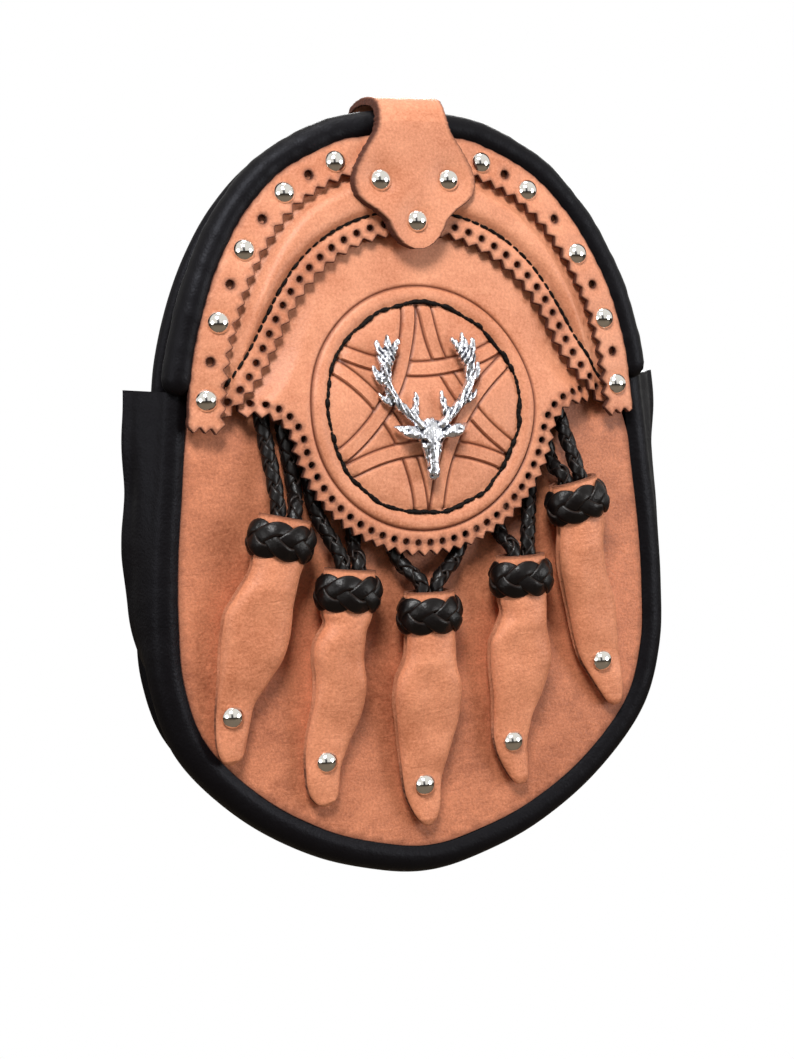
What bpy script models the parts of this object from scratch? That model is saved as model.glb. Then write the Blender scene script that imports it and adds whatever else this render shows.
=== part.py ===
"""A leather sporran pouch with a studded strip, a pierced arch, a carved flap,
five tassels, a closing tab and a cast stag badge.

Metres, +Z up. X is to the right as the pouch is seen, the front faces -Y.
Shapes are laid out in pouch coordinates: x = 0 is the middle, z = 0 the middle
height, y = 0 the strip's face half way up. An empty at the hang point carries
every piece, so the world's origin is the middle of the belt tunnel on the back.
"""

import bpy
import bmesh
from math import atan2, ceil, cos, degrees, hypot, pi, radians, sin
from mathutils import Vector
from mathutils.geometry import delaunay_2d_cdt

# Outline of the pouch, along the middle of the piped edge
HALF_WIDTH = 0.0794
HALF_HEIGHT = 0.1091
SHOULDER_Z = 0.0340

# Leather thicknesses, the gap between pieces that touch and the slack between curved layers
STRIP_THICK = 0.0022
ARCH_THICK = 0.0022
FLAP_THICK = 0.0020
PANEL_THICK = 0.0018
BACK_THICK = 0.0020
GUSSET_THICK = 0.0018
TAB_THICK = 0.0026
LOOP_THICK = 0.0024
GAP = 0.0003
LAYER_SLACK = 0.0004
FLAP_SLACK = 0.0008
STRIP_BEVEL = 0.0019
PANEL_BEVEL = 0.0017

# Piped edges and the depth of the pouch
UPPER_ROLL_RADIUS = 0.0044
LOWER_ROLL_RADIUS = 0.0053
BACK_ROLL_RADIUS = 0.0024
BACK_ROLL_Y = 0.0198
BACK_BELLY = 0.0078
BACK_BELLY_REACH = 0.0900
ROLL_BEHIND_STRIP = 0.0036
ROLL_BEHIND_PANEL = 0.0043
ROLL_END_GAP = 0.0012
ROLL_UNDER_STRIP = 0.66
ROLL_UNDER_PANEL = 0.70
GUSSET_BOW = 0.0076
GUSSET_BOW_LOW_Z = -0.0650
GUSSET_STATIONS = (0.10, 0.36, 0.62, 0.90)
GUSSET_RECESS = 0.0058
GUSSET_RECESS_TOP_Z = -0.0300
GUSSET_RECESS_REACH = 0.0400
GUSSET_HEM_INSET = 0.0014
BACK_INNER_SPAN = 0.80
PANEL_INNER_SPAN = 0.85
PANEL_STEP_SPAN = 0.73

# Front layers: how far each stands back or forward
STRIP_SET_BACK = 0.0032
STRIP_BEND_Z = 0.0500
STRIP_BEND_REACH = 0.0500
STRIP_LIFT = 0.0016
BORDER_STAND = 0.0006
BORDER_END_LIFT = 0.0016
BORDER_END_Z = 0.0450
BORDER_END_REACH = 0.0200
PUFF_HEIGHT = 0.0012
PUFF_RISE = 0.0036
PUFF_EDGE = 0.0040
FLAP_LEAN = 0.0048
FLAP_LEAN_REACH = 0.0600
FLAP_LEAN_EDGE = 0.0090
PANEL_FRONT_Y = 0.0036
PANEL_SLOPE = 0.0115
PANEL_STEP_Z = 0.0120
PANEL_STEP_REACH = 0.0180

# Studded strip, measured inwards from the piped edge's middle line
STRIP_WIDTH = 0.0126
STUD_LINE = 0.0078
STRIP_END_Z = 0.0205
STRIP_TOOTH_PITCH = 0.0044
STRIP_END_TOOTH_PITCH = 0.0031
STUD_TO_TAB = 0.0035
STUD_TO_STRIP_END = 0.0092
TOOTH_DEPTH = 0.0013
STUD_RADIUS = 0.00325
STUD_HEIGHT = 0.0019
STRIP_HOLE_RADIUS = 0.0011

# Pierced arch, about the medallion's centre
MEDALLION_Z = 0.0251
ARCH_RADIUS = 0.0520
ARCH_END_Z = 0.0230
BORDER_WIDTH = 0.0064
FLAP_UNDERLAP = 0.0010
ARCH_HOLE_PITCH = 0.0046
HOLE_TO_EDGE = 0.0031
HOLE_RADIUS = 0.00095

# Flap with its medallion and wings
MEDALLION_EDGE_RADIUS = 0.0429
FLAP_HOLE_PITCH = 0.00395
WING_TIP_X = 0.0572

# Closing tab
TAB_HALF_WIDTH = 0.0196
TAB_TIP_Z = 0.0720
TAB_TIP_DROOP = 0.0009
TAB_BACK_END_Z = 0.0860

# Belt tunnel on the back; its rise is a share of the half height
LOOP_RISE = 0.55
LOOP_Z = LOOP_RISE * HALF_HEIGHT
LOOP_HALF_WIDTH = 0.0380
LOOP_OPENING_HEIGHT = 0.0340
LOOP_OPENING_DEPTH = 0.0060
LOOP_SEAM = 0.0070
LOOP_CORNER = 0.0030

# Tassels
TASSEL_LENGTH = 0.0650
TASSEL_HALF_WIDTH = 0.0105
TASSEL_NECK_DEPTH = 0.0100
TASSEL_WALL = 0.0015
TASSEL_STUD_DROP = 0.0515
TIP_CLEARANCE = 0.0021
KNOT_WALL = 0.0020
KNOT_HALF_HEIGHT = 0.0062
KNOT_CLEARANCE = 0.0009
CORD_DIAMETER = 0.0044
CORD_CLEARANCE = 0.0009
CORD_PITCH_EXTRA = 0.0016
CORD_DEPTH_IN_HEAD = 0.0030
CORD_BEND_ABOVE_HEAD = 0.0030

# Points along the run that the strip's studs are set out on
STUD_RUN_STEPS = 200

# Ways the outline mesher keeps triangles: all inside, or inside without the holes
INSIDE = 1
INSIDE_WITH_HOLES = 2

# Stag badge, set on the medallion
BADGE_EDGE = 0.0012
BADGE_RELIEF = 0.0026
BADGE_HEIGHT = 0.0425

# Piped edge's middle line, right half, top to bottom:
# share of the half width, share of the half height
RIM_TABLE = [
    (0.000, 1.000), (0.183, 0.988), (0.317, 0.966), (0.529, 0.888), (0.681, 0.778),
    (0.787, 0.657), (0.865, 0.525), (0.921, 0.376), (0.945, 0.230), (0.969, 0.048),
    (0.996, -0.137), (1.006, -0.312), (0.993, -0.484), (0.910, -0.656), (0.697, -0.819),
    (0.438, -0.936), (0.186, -0.998), (0.000, -1.018),
]

# Arch's inner edge: bearing about the medallion in degrees, share of the arch radius
ARCH_TABLE = [
    (-1.0, 1.180), (3.0, 1.115), (7.0, 1.050), (12.0, 0.995), (20.0, 0.958),
    (30.0, 0.950), (50.0, 0.973), (70.0, 0.994), (90.0, 1.000),
]

# Wing of the flap: share of the way from the medallion's edge to the wing's tip,
# and height over the medallion's centre as a share of that length
WING_TABLE = [(0.105, -0.245), (0.406, -0.035), (0.776, 0.035), (1.000, 0.035)]

# Studs of the strip: side of the pouch, and shares of the way from beside the tab to the strip's end
STRIP_STUD_RUNS = [
    (-1.0, (0.0, 0.220, 0.470, 0.735, 1.0)), (1.0, (0.0, 0.205, 0.500, 0.755, 1.0)),
]

# Closing tab's studs: share of its half width, share of the way from its tip up to its top
TAB_STUDS = [(-0.556, 0.470), (0.556, 0.470), (0.0, 0.190)]

# Closing tab's outline: share of the way from its tip up to its top, share of its half width
TAB_TABLE = [
    (0.00, 0.08), (0.04, 0.27), (0.12, 0.42), (0.19, 0.50), (0.26, 0.66), (0.32, 0.86), (0.38, 0.97),
    (0.47, 1.00), (0.58, 0.92), (0.69, 0.77), (0.80, 0.62), (0.90, 0.56), (1.00, 0.55),
]

# Tassel's leather, going down from the knot: share of the length, share of the
# half width, share of the neck's depth, share of the way back to the panel
TASSEL_TABLE = [
    (-0.108, 0.76, 1.02, 0.00), (0.09, 0.71, 1.00, 0.00), (0.23, 0.82, 1.10, 0.20),
    (0.42, 1.00, 1.02, 0.55), (0.58, 0.86, 0.72, 0.80), (0.74, 0.55, 0.44, 0.96),
    (0.90, 0.40, 0.42, 1.00), (1.00, 0.14, 0.40, 1.00),
]

# Where the tassels hang, as shares of the medallion's edge radius from its centre: the knot's
# place, its lean in degrees towards +X, and for each of the two cords its upper end and
# the point where it leaves the flap's edge
TASSELS = [
    ((-1.105, -0.844), -13.0, [(-1.159, 0.044), (-1.147, -0.107)], [(-1.007, -0.084), (-0.956, -0.492)]),
    ((-0.632, -1.231), -6.6, [(-0.848, -0.375), (-0.800, -0.678)], [(-0.517, -0.585), (-0.536, -0.923)]),
    ((-0.028, -1.427), -1.0, [(-0.284, -0.655), (-0.219, -1.016)], [(0.319, -0.655), (0.256, -1.016)]),
    ((0.692, -1.224), 0.7, [(0.527, -0.585), (0.587, -0.900)], [(0.853, -0.375), (0.834, -0.643)]),
    ((1.156, -0.718), 12.0, [(0.967, -0.096), (1.016, -0.417)], [(1.079, 0.091), (1.110, -0.119)]),
]

# Antler strokes, right side, as shares of the badge height: x and z from the nose's tip,
# with the stroke's half width at each point
ANTLER_BEAM = [(0.09, 0.41, 0.040), (0.20, 0.48, 0.046), (0.32, 0.62, 0.044), (0.33, 0.79, 0.040)]
ANTLER_TINES = [
    [(0.20, 0.50, 0.034), (0.12, 0.55, 0.026), (0.08, 0.61, 0.014)],
    [(0.29, 0.56, 0.034), (0.35, 0.59, 0.024), (0.38, 0.63, 0.012)],
    [(0.33, 0.70, 0.034), (0.38, 0.76, 0.024), (0.41, 0.82, 0.012)],
    [(0.33, 0.79, 0.036), (0.30, 0.88, 0.028), (0.26, 0.96, 0.013)],
    [(0.33, 0.79, 0.034), (0.35, 0.90, 0.024), (0.34, 1.00, 0.012)],
    [(0.33, 0.79, 0.034), (0.39, 0.87, 0.024), (0.43, 0.94, 0.012)],
]
BADGE_EAR = [(0.09, 0.34, 0.040), (0.18, 0.37, 0.048), (0.27, 0.37, 0.012)]
BADGE_FACE = [(0.00, 0.00, 0.030), (0.00, 0.05, 0.060), (0.00, 0.13, 0.064), (0.00, 0.23, 0.098),
              (0.00, 0.33, 0.122), (0.00, 0.40, 0.085)]
BADGE_NOSE_Z = 0.0035


def make_material(name, colour, roughness, metallic=0.0):
    """Principled material with one plain colour."""
    material = bpy.data.materials.new(name)
    material.use_nodes = True
    shader = material.node_tree.nodes["Principled BSDF"]
    shader.inputs["Base Color"].default_value = (*colour, 1.0)
    shader.inputs["Roughness"].default_value = roughness
    shader.inputs["Metallic"].default_value = metallic
    return material


def smoothstep(t):
    """Ease from 0 to 1 as t goes from 0 to 1."""
    t = min(1.0, max(0.0, t))
    return t * t * (3.0 - 2.0 * t)


def table_value(table, key, column=1):
    """Straight-line reading of a table whose first column rises."""
    if key <= table[0][0]:
        return table[0][column]
    for low, high in zip(table, table[1:]):
        if key <= high[0]:
            share = (key - low[0]) / (high[0] - low[0])
            return low[column] + share * (high[column] - low[column])
    return table[-1][column]


def smooth_points(points, closed, steps=8):
    """Catmull-Rom curve through the points."""
    count = len(points)
    spans = count if closed else count - 1
    curve = []
    for i in range(spans):
        if closed:
            p0, p1, p2, p3 = (points[(i + k) % count] for k in (-1, 0, 1, 2))
        else:
            p0, p1, p2, p3 = (points[min(count - 1, max(0, i + k))] for k in (-1, 0, 1, 2))
        for step in range(steps):
            t = step / steps
            curve.append(0.5 * (2.0 * p1 + (p2 - p0) * t
                                + (2.0 * p0 - 5.0 * p1 + 4.0 * p2 - p3) * t * t
                                + (3.0 * p1 - p0 - 3.0 * p2 + p3) * t ** 3))
    if not closed:
        curve.append(points[-1].copy())
    return curve


def path_length(path):
    return sum((b - a).length for a, b in zip(path, path[1:]))


def resample(path, count):
    """Even spacing: count points from the path's first to its last."""
    spacing = path_length(path) / (count - 1)
    points = [path[0].copy()]
    travelled, wanted = 0.0, spacing
    for a, b in zip(path, path[1:]):
        span = (b - a).length
        while wanted <= travelled + span and len(points) < count - 1:
            points.append(a.lerp(b, (wanted - travelled) / span))
            wanted += spacing
        travelled += span
    points.append(path[-1].copy())
    return points


def even_loop(loop, count):
    """Even spacing round a closed loop."""
    return resample(loop + [loop[0]], count + 1)[:-1]


def left_normals(path, closed=False):
    """Unit normals to the left of the direction of travel, in the x-z plane."""
    normals = []
    count = len(path)
    for i in range(count):
        before = path[i - 1] if (closed or i > 0) else path[0]
        after = path[(i + 1) % count] if (closed or i < count - 1) else path[-1]
        along = (after - before).normalized()
        normals.append(Vector((-along.y, along.x)))
    return normals


def beside(path, distance, closed=False):
    """Path moved to its left; distance is a number or a function of the point."""
    shift = distance if callable(distance) else (lambda point: distance)
    return [p + n * shift(p) for p, n in zip(path, left_normals(path, closed))]


def pinked(path, pitch, depth):
    """Zigzag edge along a path, tooth tips to its right."""
    teeth = max(1, round(path_length(path) / pitch))
    points = resample(path, 2 * teeth + 1)
    normals = left_normals(points)
    return [p + n * (depth / 2 if i % 2 == 0 else -depth / 2)
            for i, (p, n) in enumerate(zip(points, normals))]


def rim_loop(count=240):
    """Middle line of the piped edge, anticlockwise as seen, from the bottom."""
    right = [Vector((u * HALF_WIDTH, v * HALF_HEIGHT)) for u, v in reversed(RIM_TABLE)]
    left = [Vector((-p.x, p.y)) for p in reversed(right[1:-1])]
    return even_loop(smooth_points(right + left, closed=True), count)


RIM = rim_loop()


def rim_distance(x, z):
    """Distance inwards from the piped edge's middle line."""
    point = Vector((x, z))
    best = HALF_HEIGHT
    for a, b in zip(RIM, RIM[1:] + RIM[:1]):
        along = b - a
        share = min(1.0, max(0.0, (point - a).dot(along) / along.length_squared))
        best = min(best, (point - a - along * share).length)
    return best


def upper_rim(low_z, count):
    """Part of the piped edge above a height, right to left over the top."""
    return resample([p for p in RIM if p.y >= low_z], count)


def lower_rim(high_z, count):
    """Part of the piped edge below a height, left to right round the bottom."""
    half = len(RIM) // 2
    turned = RIM[half:] + RIM[:half]
    return resample([p for p in turned if p.y <= high_z], count)


def strip_middle_y(z):
    """Depth of the strip's face by its outer edge."""
    return STRIP_SET_BACK * smoothstep((z - STRIP_BEND_Z) / STRIP_BEND_REACH) - GAP


def strip_front(x, z):
    """The strip tips forward towards its inner edge, over the padded arch."""
    share = min(1.0, rim_distance(x, z) / STRIP_WIDTH)
    return strip_middle_y(z) - STRIP_LIFT * share


def border_front(z):
    """Face of the arch's pierced border, coming forward at its two lower ends."""
    end_lift = BORDER_END_LIFT * smoothstep((BORDER_END_Z - z) / BORDER_END_REACH)
    return strip_middle_y(z) - BORDER_STAND - end_lift


def arch_front(x, z):
    """Flat under the strip, padded in the middle, flat again along the pierced border."""
    inset = rim_distance(x, z)
    under_strip = strip_front(x, z) + STRIP_THICK + LAYER_SLACK
    border = border_front(z)
    past_strip = smoothstep((inset - STRIP_WIDTH - TOOTH_DEPTH) / PUFF_RISE)
    to_stitch = arch_edge_distance(x, z) - BORDER_WIDTH
    puff = PUFF_HEIGHT * smoothstep(to_stitch / PUFF_EDGE) * past_strip
    return under_strip + (border - under_strip) * past_strip - puff


def arch_edge_distance(x, z):
    """How far a point lies outside the arch's inner edge."""
    bearing = degrees(atan2(z - MEDALLION_Z, abs(x)))
    edge = ARCH_RADIUS * table_value(ARCH_TABLE, bearing)
    return hypot(x, z - MEDALLION_Z) - edge


def flap_front(x, z):
    """Close behind the arch's border, leaning forward over the cords lower down."""
    outside = arch_edge_distance(x, z)
    border = border_front(z)
    if outside > 0.0:
        border = max(border, arch_front(x, z)) + 0.5 * LAYER_SLACK
    behind_arch = border + ARCH_THICK + FLAP_SLACK
    crown_z = MEDALLION_Z + ARCH_RADIUS
    lean = FLAP_LEAN * smoothstep((crown_z - z) / FLAP_LEAN_REACH)
    return behind_arch - lean * smoothstep(-outside / FLAP_LEAN_EDGE)


def above_step(z):
    """0 below the front wall's step back, 1 above it."""
    return smoothstep((z - PANEL_STEP_Z) / PANEL_STEP_REACH)


def panel_front(x, z):
    """Front wall: nearly flat low down, set back above the shoulders behind the layers."""
    low = PANEL_FRONT_Y + PANEL_SLOPE * z
    layers = STRIP_THICK + ARCH_THICK + FLAP_THICK + FLAP_SLACK + 2.0 * LAYER_SLACK - STRIP_LIFT
    return low + (strip_middle_y(z) + layers - low) * above_step(z)


def back_roll_y(z):
    """Depth of the back roll's middle: the pouch is deeper low down."""
    return BACK_ROLL_Y + BACK_BELLY * smoothstep((SHOULDER_Z - z) / BACK_BELLY_REACH)


def back_front(x, z):
    return back_roll_y(z) - BACK_THICK / 2.0


def back_face():
    """Depth just clear of the back wall's outer face."""
    return BACK_ROLL_Y + BACK_THICK / 2.0 + GAP


def mesh_object(name, vertices, faces, material):
    """Object from a closed mesh, its faces turned outwards."""
    mesh = bpy.data.meshes.new(name)
    mesh.from_pydata(vertices, [], faces)
    work = bmesh.new()
    work.from_mesh(mesh)
    bmesh.ops.recalc_face_normals(work, faces=work.faces)
    work.to_mesh(mesh)
    work.free()
    mesh.materials.append(material)
    mesh.shade_smooth()
    mesh.set_sharp_from_angle(angle=radians(35.0))
    thing = bpy.data.objects.new(name, mesh)
    bpy.context.collection.objects.link(thing)
    return thing


def sheet(name, outline, holes, front, thickness, material, inner_points=(), bevel=None):
    """Leather sheet: a flat outline with holes, laid on a curved front.

    bevel gives how far the back face's outer edge is pulled in at a point, to clear a round roll.
    """
    coordinates = list(outline)
    loops = [list(range(len(outline)))]
    for hole in holes:
        loops.append(list(range(len(coordinates), len(coordinates) + len(hole))))
        coordinates += hole
    coordinates += inner_points
    flat, _, triangles, origins, _, _ = delaunay_2d_cdt(coordinates, [], loops, INSIDE_WITH_HOLES, 1e-6)
    back_flat = [p.copy() for p in flat]
    if bevel:
        moved = beside(outline, bevel, closed=True)
        for i, sources in enumerate(origins):
            own = [k for k in sources if k < len(outline)]
            if own:
                back_flat[i] = moved[own[0]]
    count = len(flat)
    vertices = [(p.x, front(p.x, p.y), p.y) for p in flat]
    vertices += [(p.x, front(q.x, q.y) + thickness, p.y) for p, q in zip(back_flat, flat)]
    faces = [tuple(t) for t in triangles] + [tuple(i + count for i in reversed(t)) for t in triangles]
    used = {}
    for t in triangles:
        for a, b in zip(t, list(t[1:]) + [t[0]]):
            used[(a, b)] = True
    for a, b in used:
        if (b, a) not in used:
            faces.append((b, a, a + count, b + count))
    return mesh_object(name, vertices, faces, material)


def loft(name, rings, material, closed=False):
    """Skin over rings of equal size, capped at both ends unless closed on itself."""
    size = len(rings[0])
    vertices = [tuple(p) for ring in rings for p in ring]
    faces = []
    spans = len(rings) if closed else len(rings) - 1
    for r in range(spans):
        low, high = r * size, (r + 1) % len(rings) * size
        for i in range(size):
            j = (i + 1) % size
            faces.append((low + i, low + j, high + j, high + i))
    if not closed:
        faces.append(tuple(reversed(range(size))))
        faces.append(tuple(range((len(rings) - 1) * size, len(rings) * size)))
    return mesh_object(name, vertices, faces, material)


def ribbon(name, path, half_widths, thickness, material, columns=(-1.0, -0.4, 0.4, 1.0)):
    """Strap bent along a path of (y, z) points, its outer face one thickness to the right."""
    rings = []
    outside = beside(path, -thickness)
    for inner, outer, half in zip(path, outside, half_widths):
        ring = [(u * half, outer.x, outer.y) for u in columns]
        ring += [(u * half, inner.x, inner.y) for u in reversed(columns)]
        rings.append(ring)
    return loft(name, rings, material)


def tube(name, points, radius, material, closed=False, resolution=2):
    """Round tube along points, from a curve with a bevel and filled caps."""
    curve = bpy.data.curves.new(name, "CURVE")
    curve.dimensions = "3D"
    spline = curve.splines.new("POLY")
    spline.points.add(len(points) - 1)
    for slot, point in zip(spline.points, points):
        slot.co = (*point, 1.0)
    spline.use_cyclic_u = closed
    spline.use_smooth = True
    curve.bevel_depth = radius
    curve.bevel_resolution = resolution
    curve.use_fill_caps = not closed
    curve.materials.append(material)
    thing = bpy.data.objects.new(name, curve)
    bpy.context.collection.objects.link(thing)
    return thing


def hole(centre, radius, sides=6):
    """Ring of points, clockwise, for a hole in a sheet."""
    return [centre + Vector((radius * cos(-2 * pi * i / sides), radius * sin(-2 * pi * i / sides)))
            for i in range(sides)]


def strip_stud_places():
    """Studs and the holes between them down both sides of the strip, clear of the closing tab."""
    line = beside(upper_rim(STRIP_END_Z + STUD_TO_STRIP_END, 161), STUD_LINE)
    right = [p for p in reversed(line) if p.x >= TAB_HALF_WIDTH + STUD_TO_TAB]
    run = resample(right, STUD_RUN_STEPS + 1)
    studs, holes = [], []
    for side, shares in STRIP_STUD_RUNS:
        between = [(a + b) / 2.0 for a, b in zip(shares, shares[1:])]
        for places, kept in ((shares, studs), (between, holes)):
            for share in places:
                point = run[round(STUD_RUN_STEPS * share)]
                kept.append(Vector((side * point.x, point.y)))
    return studs, holes


def make_strip(leather):
    edge = upper_rim(STRIP_END_Z, 49)
    outer = beside(edge, UPPER_ROLL_RADIUS * ROLL_UNDER_STRIP)
    inner = beside(edge, STRIP_WIDTH)
    teeth = pinked(list(reversed(inner)), STRIP_TOOTH_PITCH, TOOTH_DEPTH)
    left_end = pinked([outer[-1], inner[-1]], STRIP_END_TOOTH_PITCH, TOOTH_DEPTH)
    right_end = pinked([inner[0], outer[0]], STRIP_END_TOOTH_PITCH, TOOTH_DEPTH)
    outline = outer[:-1] + left_end[:-1] + teeth[:-1] + right_end[:-1]
    holes = [hole(place, STRIP_HOLE_RADIUS) for place in strip_stud_places()[1]]

    def bevel(point):
        return STRIP_BEVEL if rim_distance(point.x, point.y) < 0.5 * STUD_LINE else 0.0
    return sheet("strip", outline, holes, strip_front, STRIP_THICK, leather, bevel=bevel)


def arch_edge(count, outward=0.0, from_bearing=-1.0):
    """Arch's inner edge, right to left over the crown, moved outwards."""
    points = []
    for i in range(count):
        turn = from_bearing + (180.0 - 2.0 * from_bearing) * i / (count - 1)
        bearing = min(turn, 180.0 - turn)
        radius = ARCH_RADIUS * table_value(ARCH_TABLE, bearing) + outward
        points.append(Vector((radius * cos(radians(turn)), MEDALLION_Z + radius * sin(radians(turn)))))
    return points


def make_arch(leather):
    edge = upper_rim(ARCH_END_Z, 41)
    outer = beside(edge, UPPER_ROLL_RADIUS + 2.0 * GAP)
    inner = arch_edge(61)
    teeth = pinked(list(reversed(inner)), ARCH_HOLE_PITCH, TOOTH_DEPTH)
    outline = outer + teeth
    line = arch_edge(121, HOLE_TO_EDGE, from_bearing=4.0)
    count = round(path_length(line) / ARCH_HOLE_PITCH) + 1
    holes = [hole(p, HOLE_RADIUS) for p in resample(line, count)]
    padding = []
    for inset in (STRIP_WIDTH + TOOTH_DEPTH, STRIP_WIDTH + TOOTH_DEPTH + PUFF_RISE):
        padding += resample(beside(upper_rim(ARCH_END_Z + TOOTH_DEPTH + PUFF_EDGE, 60), inset), 19)
    padding += resample(arch_edge(61, BORDER_WIDTH, from_bearing=8.0), 17)
    return sheet("arch", outline, holes, arch_front, ARCH_THICK, leather, padding)


def flap_edge():
    """Lower edge, left wing tip round the medallion to the right wing tip."""
    span = WING_TIP_X - MEDALLION_EDGE_RADIUS
    wing = [Vector((MEDALLION_EDGE_RADIUS + u * span, MEDALLION_Z + v * span)) for u, v in WING_TABLE]
    arc = []
    for i in range(41):
        turn = radians(190.0 + 160.0 * i / 40)
        arc.append(Vector((MEDALLION_EDGE_RADIUS * cos(turn), MEDALLION_Z + MEDALLION_EDGE_RADIUS * sin(turn))))
    left = [Vector((-p.x, p.y)) for p in reversed(wing)]
    return smooth_points(left + arc + wing, closed=False, steps=3)


def flap_top():
    """Hidden upper edge, under the arch, right to left."""
    points = []
    for p in arch_edge(41, BORDER_WIDTH + FLAP_UNDERLAP, from_bearing=6.0):
        points.append(Vector((max(-WING_TIP_X, min(WING_TIP_X, p.x)), p.y)))
    return points


def make_flap(leather):
    edge = flap_edge()
    teeth = pinked(edge, FLAP_HOLE_PITCH, TOOTH_DEPTH)
    outline = teeth + flap_top()
    line = [p for p in beside(edge, HOLE_TO_EDGE) if abs(p.x) < WING_TIP_X - HOLE_TO_EDGE]
    count = round(path_length(line) / FLAP_HOLE_PITCH) + 1
    holes = [hole(p, HOLE_RADIUS) for p in resample(line, count)]
    inner = []
    for share, around in ((0.84, 26), (0.50, 12)):
        for i in range(around):
            turn = 2.0 * pi * i / around
            radius = share * MEDALLION_EDGE_RADIUS
            inner.append(Vector((radius * cos(turn), MEDALLION_Z + radius * sin(turn))))
    inner += resample(arch_edge(61, 0.0, from_bearing=14.0), 23)
    inner += resample(arch_edge(61, -BORDER_WIDTH, from_bearing=16.0), 17)
    return sheet("flap", outline, holes, flap_front, FLAP_THICK, leather, inner)


def make_front_panel(leather):
    def inset(point):
        low = LOWER_ROLL_RADIUS * ROLL_UNDER_PANEL
        high = UPPER_ROLL_RADIUS + GAP
        return low + (high - low) * above_step(point.y)
    outline = beside(even_loop(RIM, 54), inset, closed=True)
    inner = []
    for row in range(7):
        z = HALF_HEIGHT * (0.23 * row - 0.69)
        span = PANEL_INNER_SPAN * max(p.x for p in outline if abs(p.y - z) < 0.08 * HALF_HEIGHT)
        inner += [Vector((span * u, z)) for u in (-1.0, -0.5, 0.0, 0.5, 1.0)]
    for share in (0.0, 0.5, 1.0):
        z = PANEL_STEP_Z + share * PANEL_STEP_REACH
        inner += [Vector((PANEL_STEP_SPAN * HALF_WIDTH * u, z)) for u in (-1.0, -0.6, -0.2, 0.2, 0.6, 1.0)]
    return sheet("front_panel", outline, [], panel_front, PANEL_THICK, leather, inner,
                 bevel=lambda point: PANEL_BEVEL)


def make_back_panel(leather):
    outline = beside(even_loop(RIM, 54), BACK_ROLL_RADIUS + GAP, closed=True)
    inner = []
    for row in range(6):
        z = SHOULDER_Z - BACK_BELLY_REACH * row / 5
        inner += [Vector((BACK_INNER_SPAN * HALF_WIDTH * u, z)) for u in (-1.0, -0.3, 0.3, 1.0)]
    return sheet("back_panel", outline, [], back_front, BACK_THICK, leather, inner)


def roll_points(path, depth):
    return [Vector((p.x, depth(p.x, p.y), p.y)) for p in path]


def make_rolls(leather):
    path = upper_rim(SHOULDER_Z + ROLL_END_GAP, 33)
    front = roll_points(path, lambda x, z: strip_middle_y(z) + ROLL_BEHIND_STRIP)
    tube("upper_roll", front, UPPER_ROLL_RADIUS, leather)
    back = roll_points(even_loop(RIM, 48), lambda x, z: back_roll_y(z))
    tube("back_roll", back, BACK_ROLL_RADIUS, leather, closed=True, resolution=1)


def gusset_section(z):
    """Outer wall line across the gusset: (outwards, depth) from the roll's middle.

    It curls round the front edge, then bows outside the rolls at the open top
    and sinks between them lower down.
    """
    roll = LOWER_ROLL_RADIUS
    centre_y = PANEL_FRONT_Y + PANEL_SLOPE * z + ROLL_BEHIND_PANEL
    reach = back_roll_y(z) - BACK_ROLL_RADIUS - GAP - centre_y
    bow = smoothstep((z - GUSSET_BOW_LOW_Z) / (SHOULDER_Z - GUSSET_BOW_LOW_Z))
    sink = smoothstep((GUSSET_RECESS_TOP_Z - z) / GUSSET_RECESS_REACH)
    middle = roll + GUSSET_BOW * bow - GUSSET_RECESS * sink
    line = [Vector((roll * cos(radians(a)), -roll * sin(radians(a)))) for a in (128.0, 95.0, 60.0, 25.0)]
    first, second, third, last = (share * reach for share in GUSSET_STATIONS)
    line.append(Vector((roll + 0.45 * GUSSET_BOW * bow, first)))
    line.append(Vector((0.5 * (roll + middle) + 0.2 * GUSSET_BOW * bow - 0.1 * GUSSET_RECESS * sink, second)))
    line.append(Vector((middle, third)))
    line.append(Vector((0.45 * middle + 0.3 * GUSSET_HEM_INSET, last)))
    line.append(Vector((GUSSET_HEM_INSET, reach)))
    return line, centre_y


def make_gusset(leather):
    path = lower_rim(SHOULDER_Z, 38)
    rings = []
    for point, inward in zip(path, left_normals(path)):
        line, centre_y = gusset_section(point.y)
        inside = beside(line, GUSSET_THICK)
        inside[-1].y = line[-1].y
        ring = []
        for across in line + list(reversed(inside)):
            flat = point - inward * across.x
            ring.append((flat.x, centre_y + across.y, flat.y))
        rings.append(ring)
    return loft("gusset", rings, leather)


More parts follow.
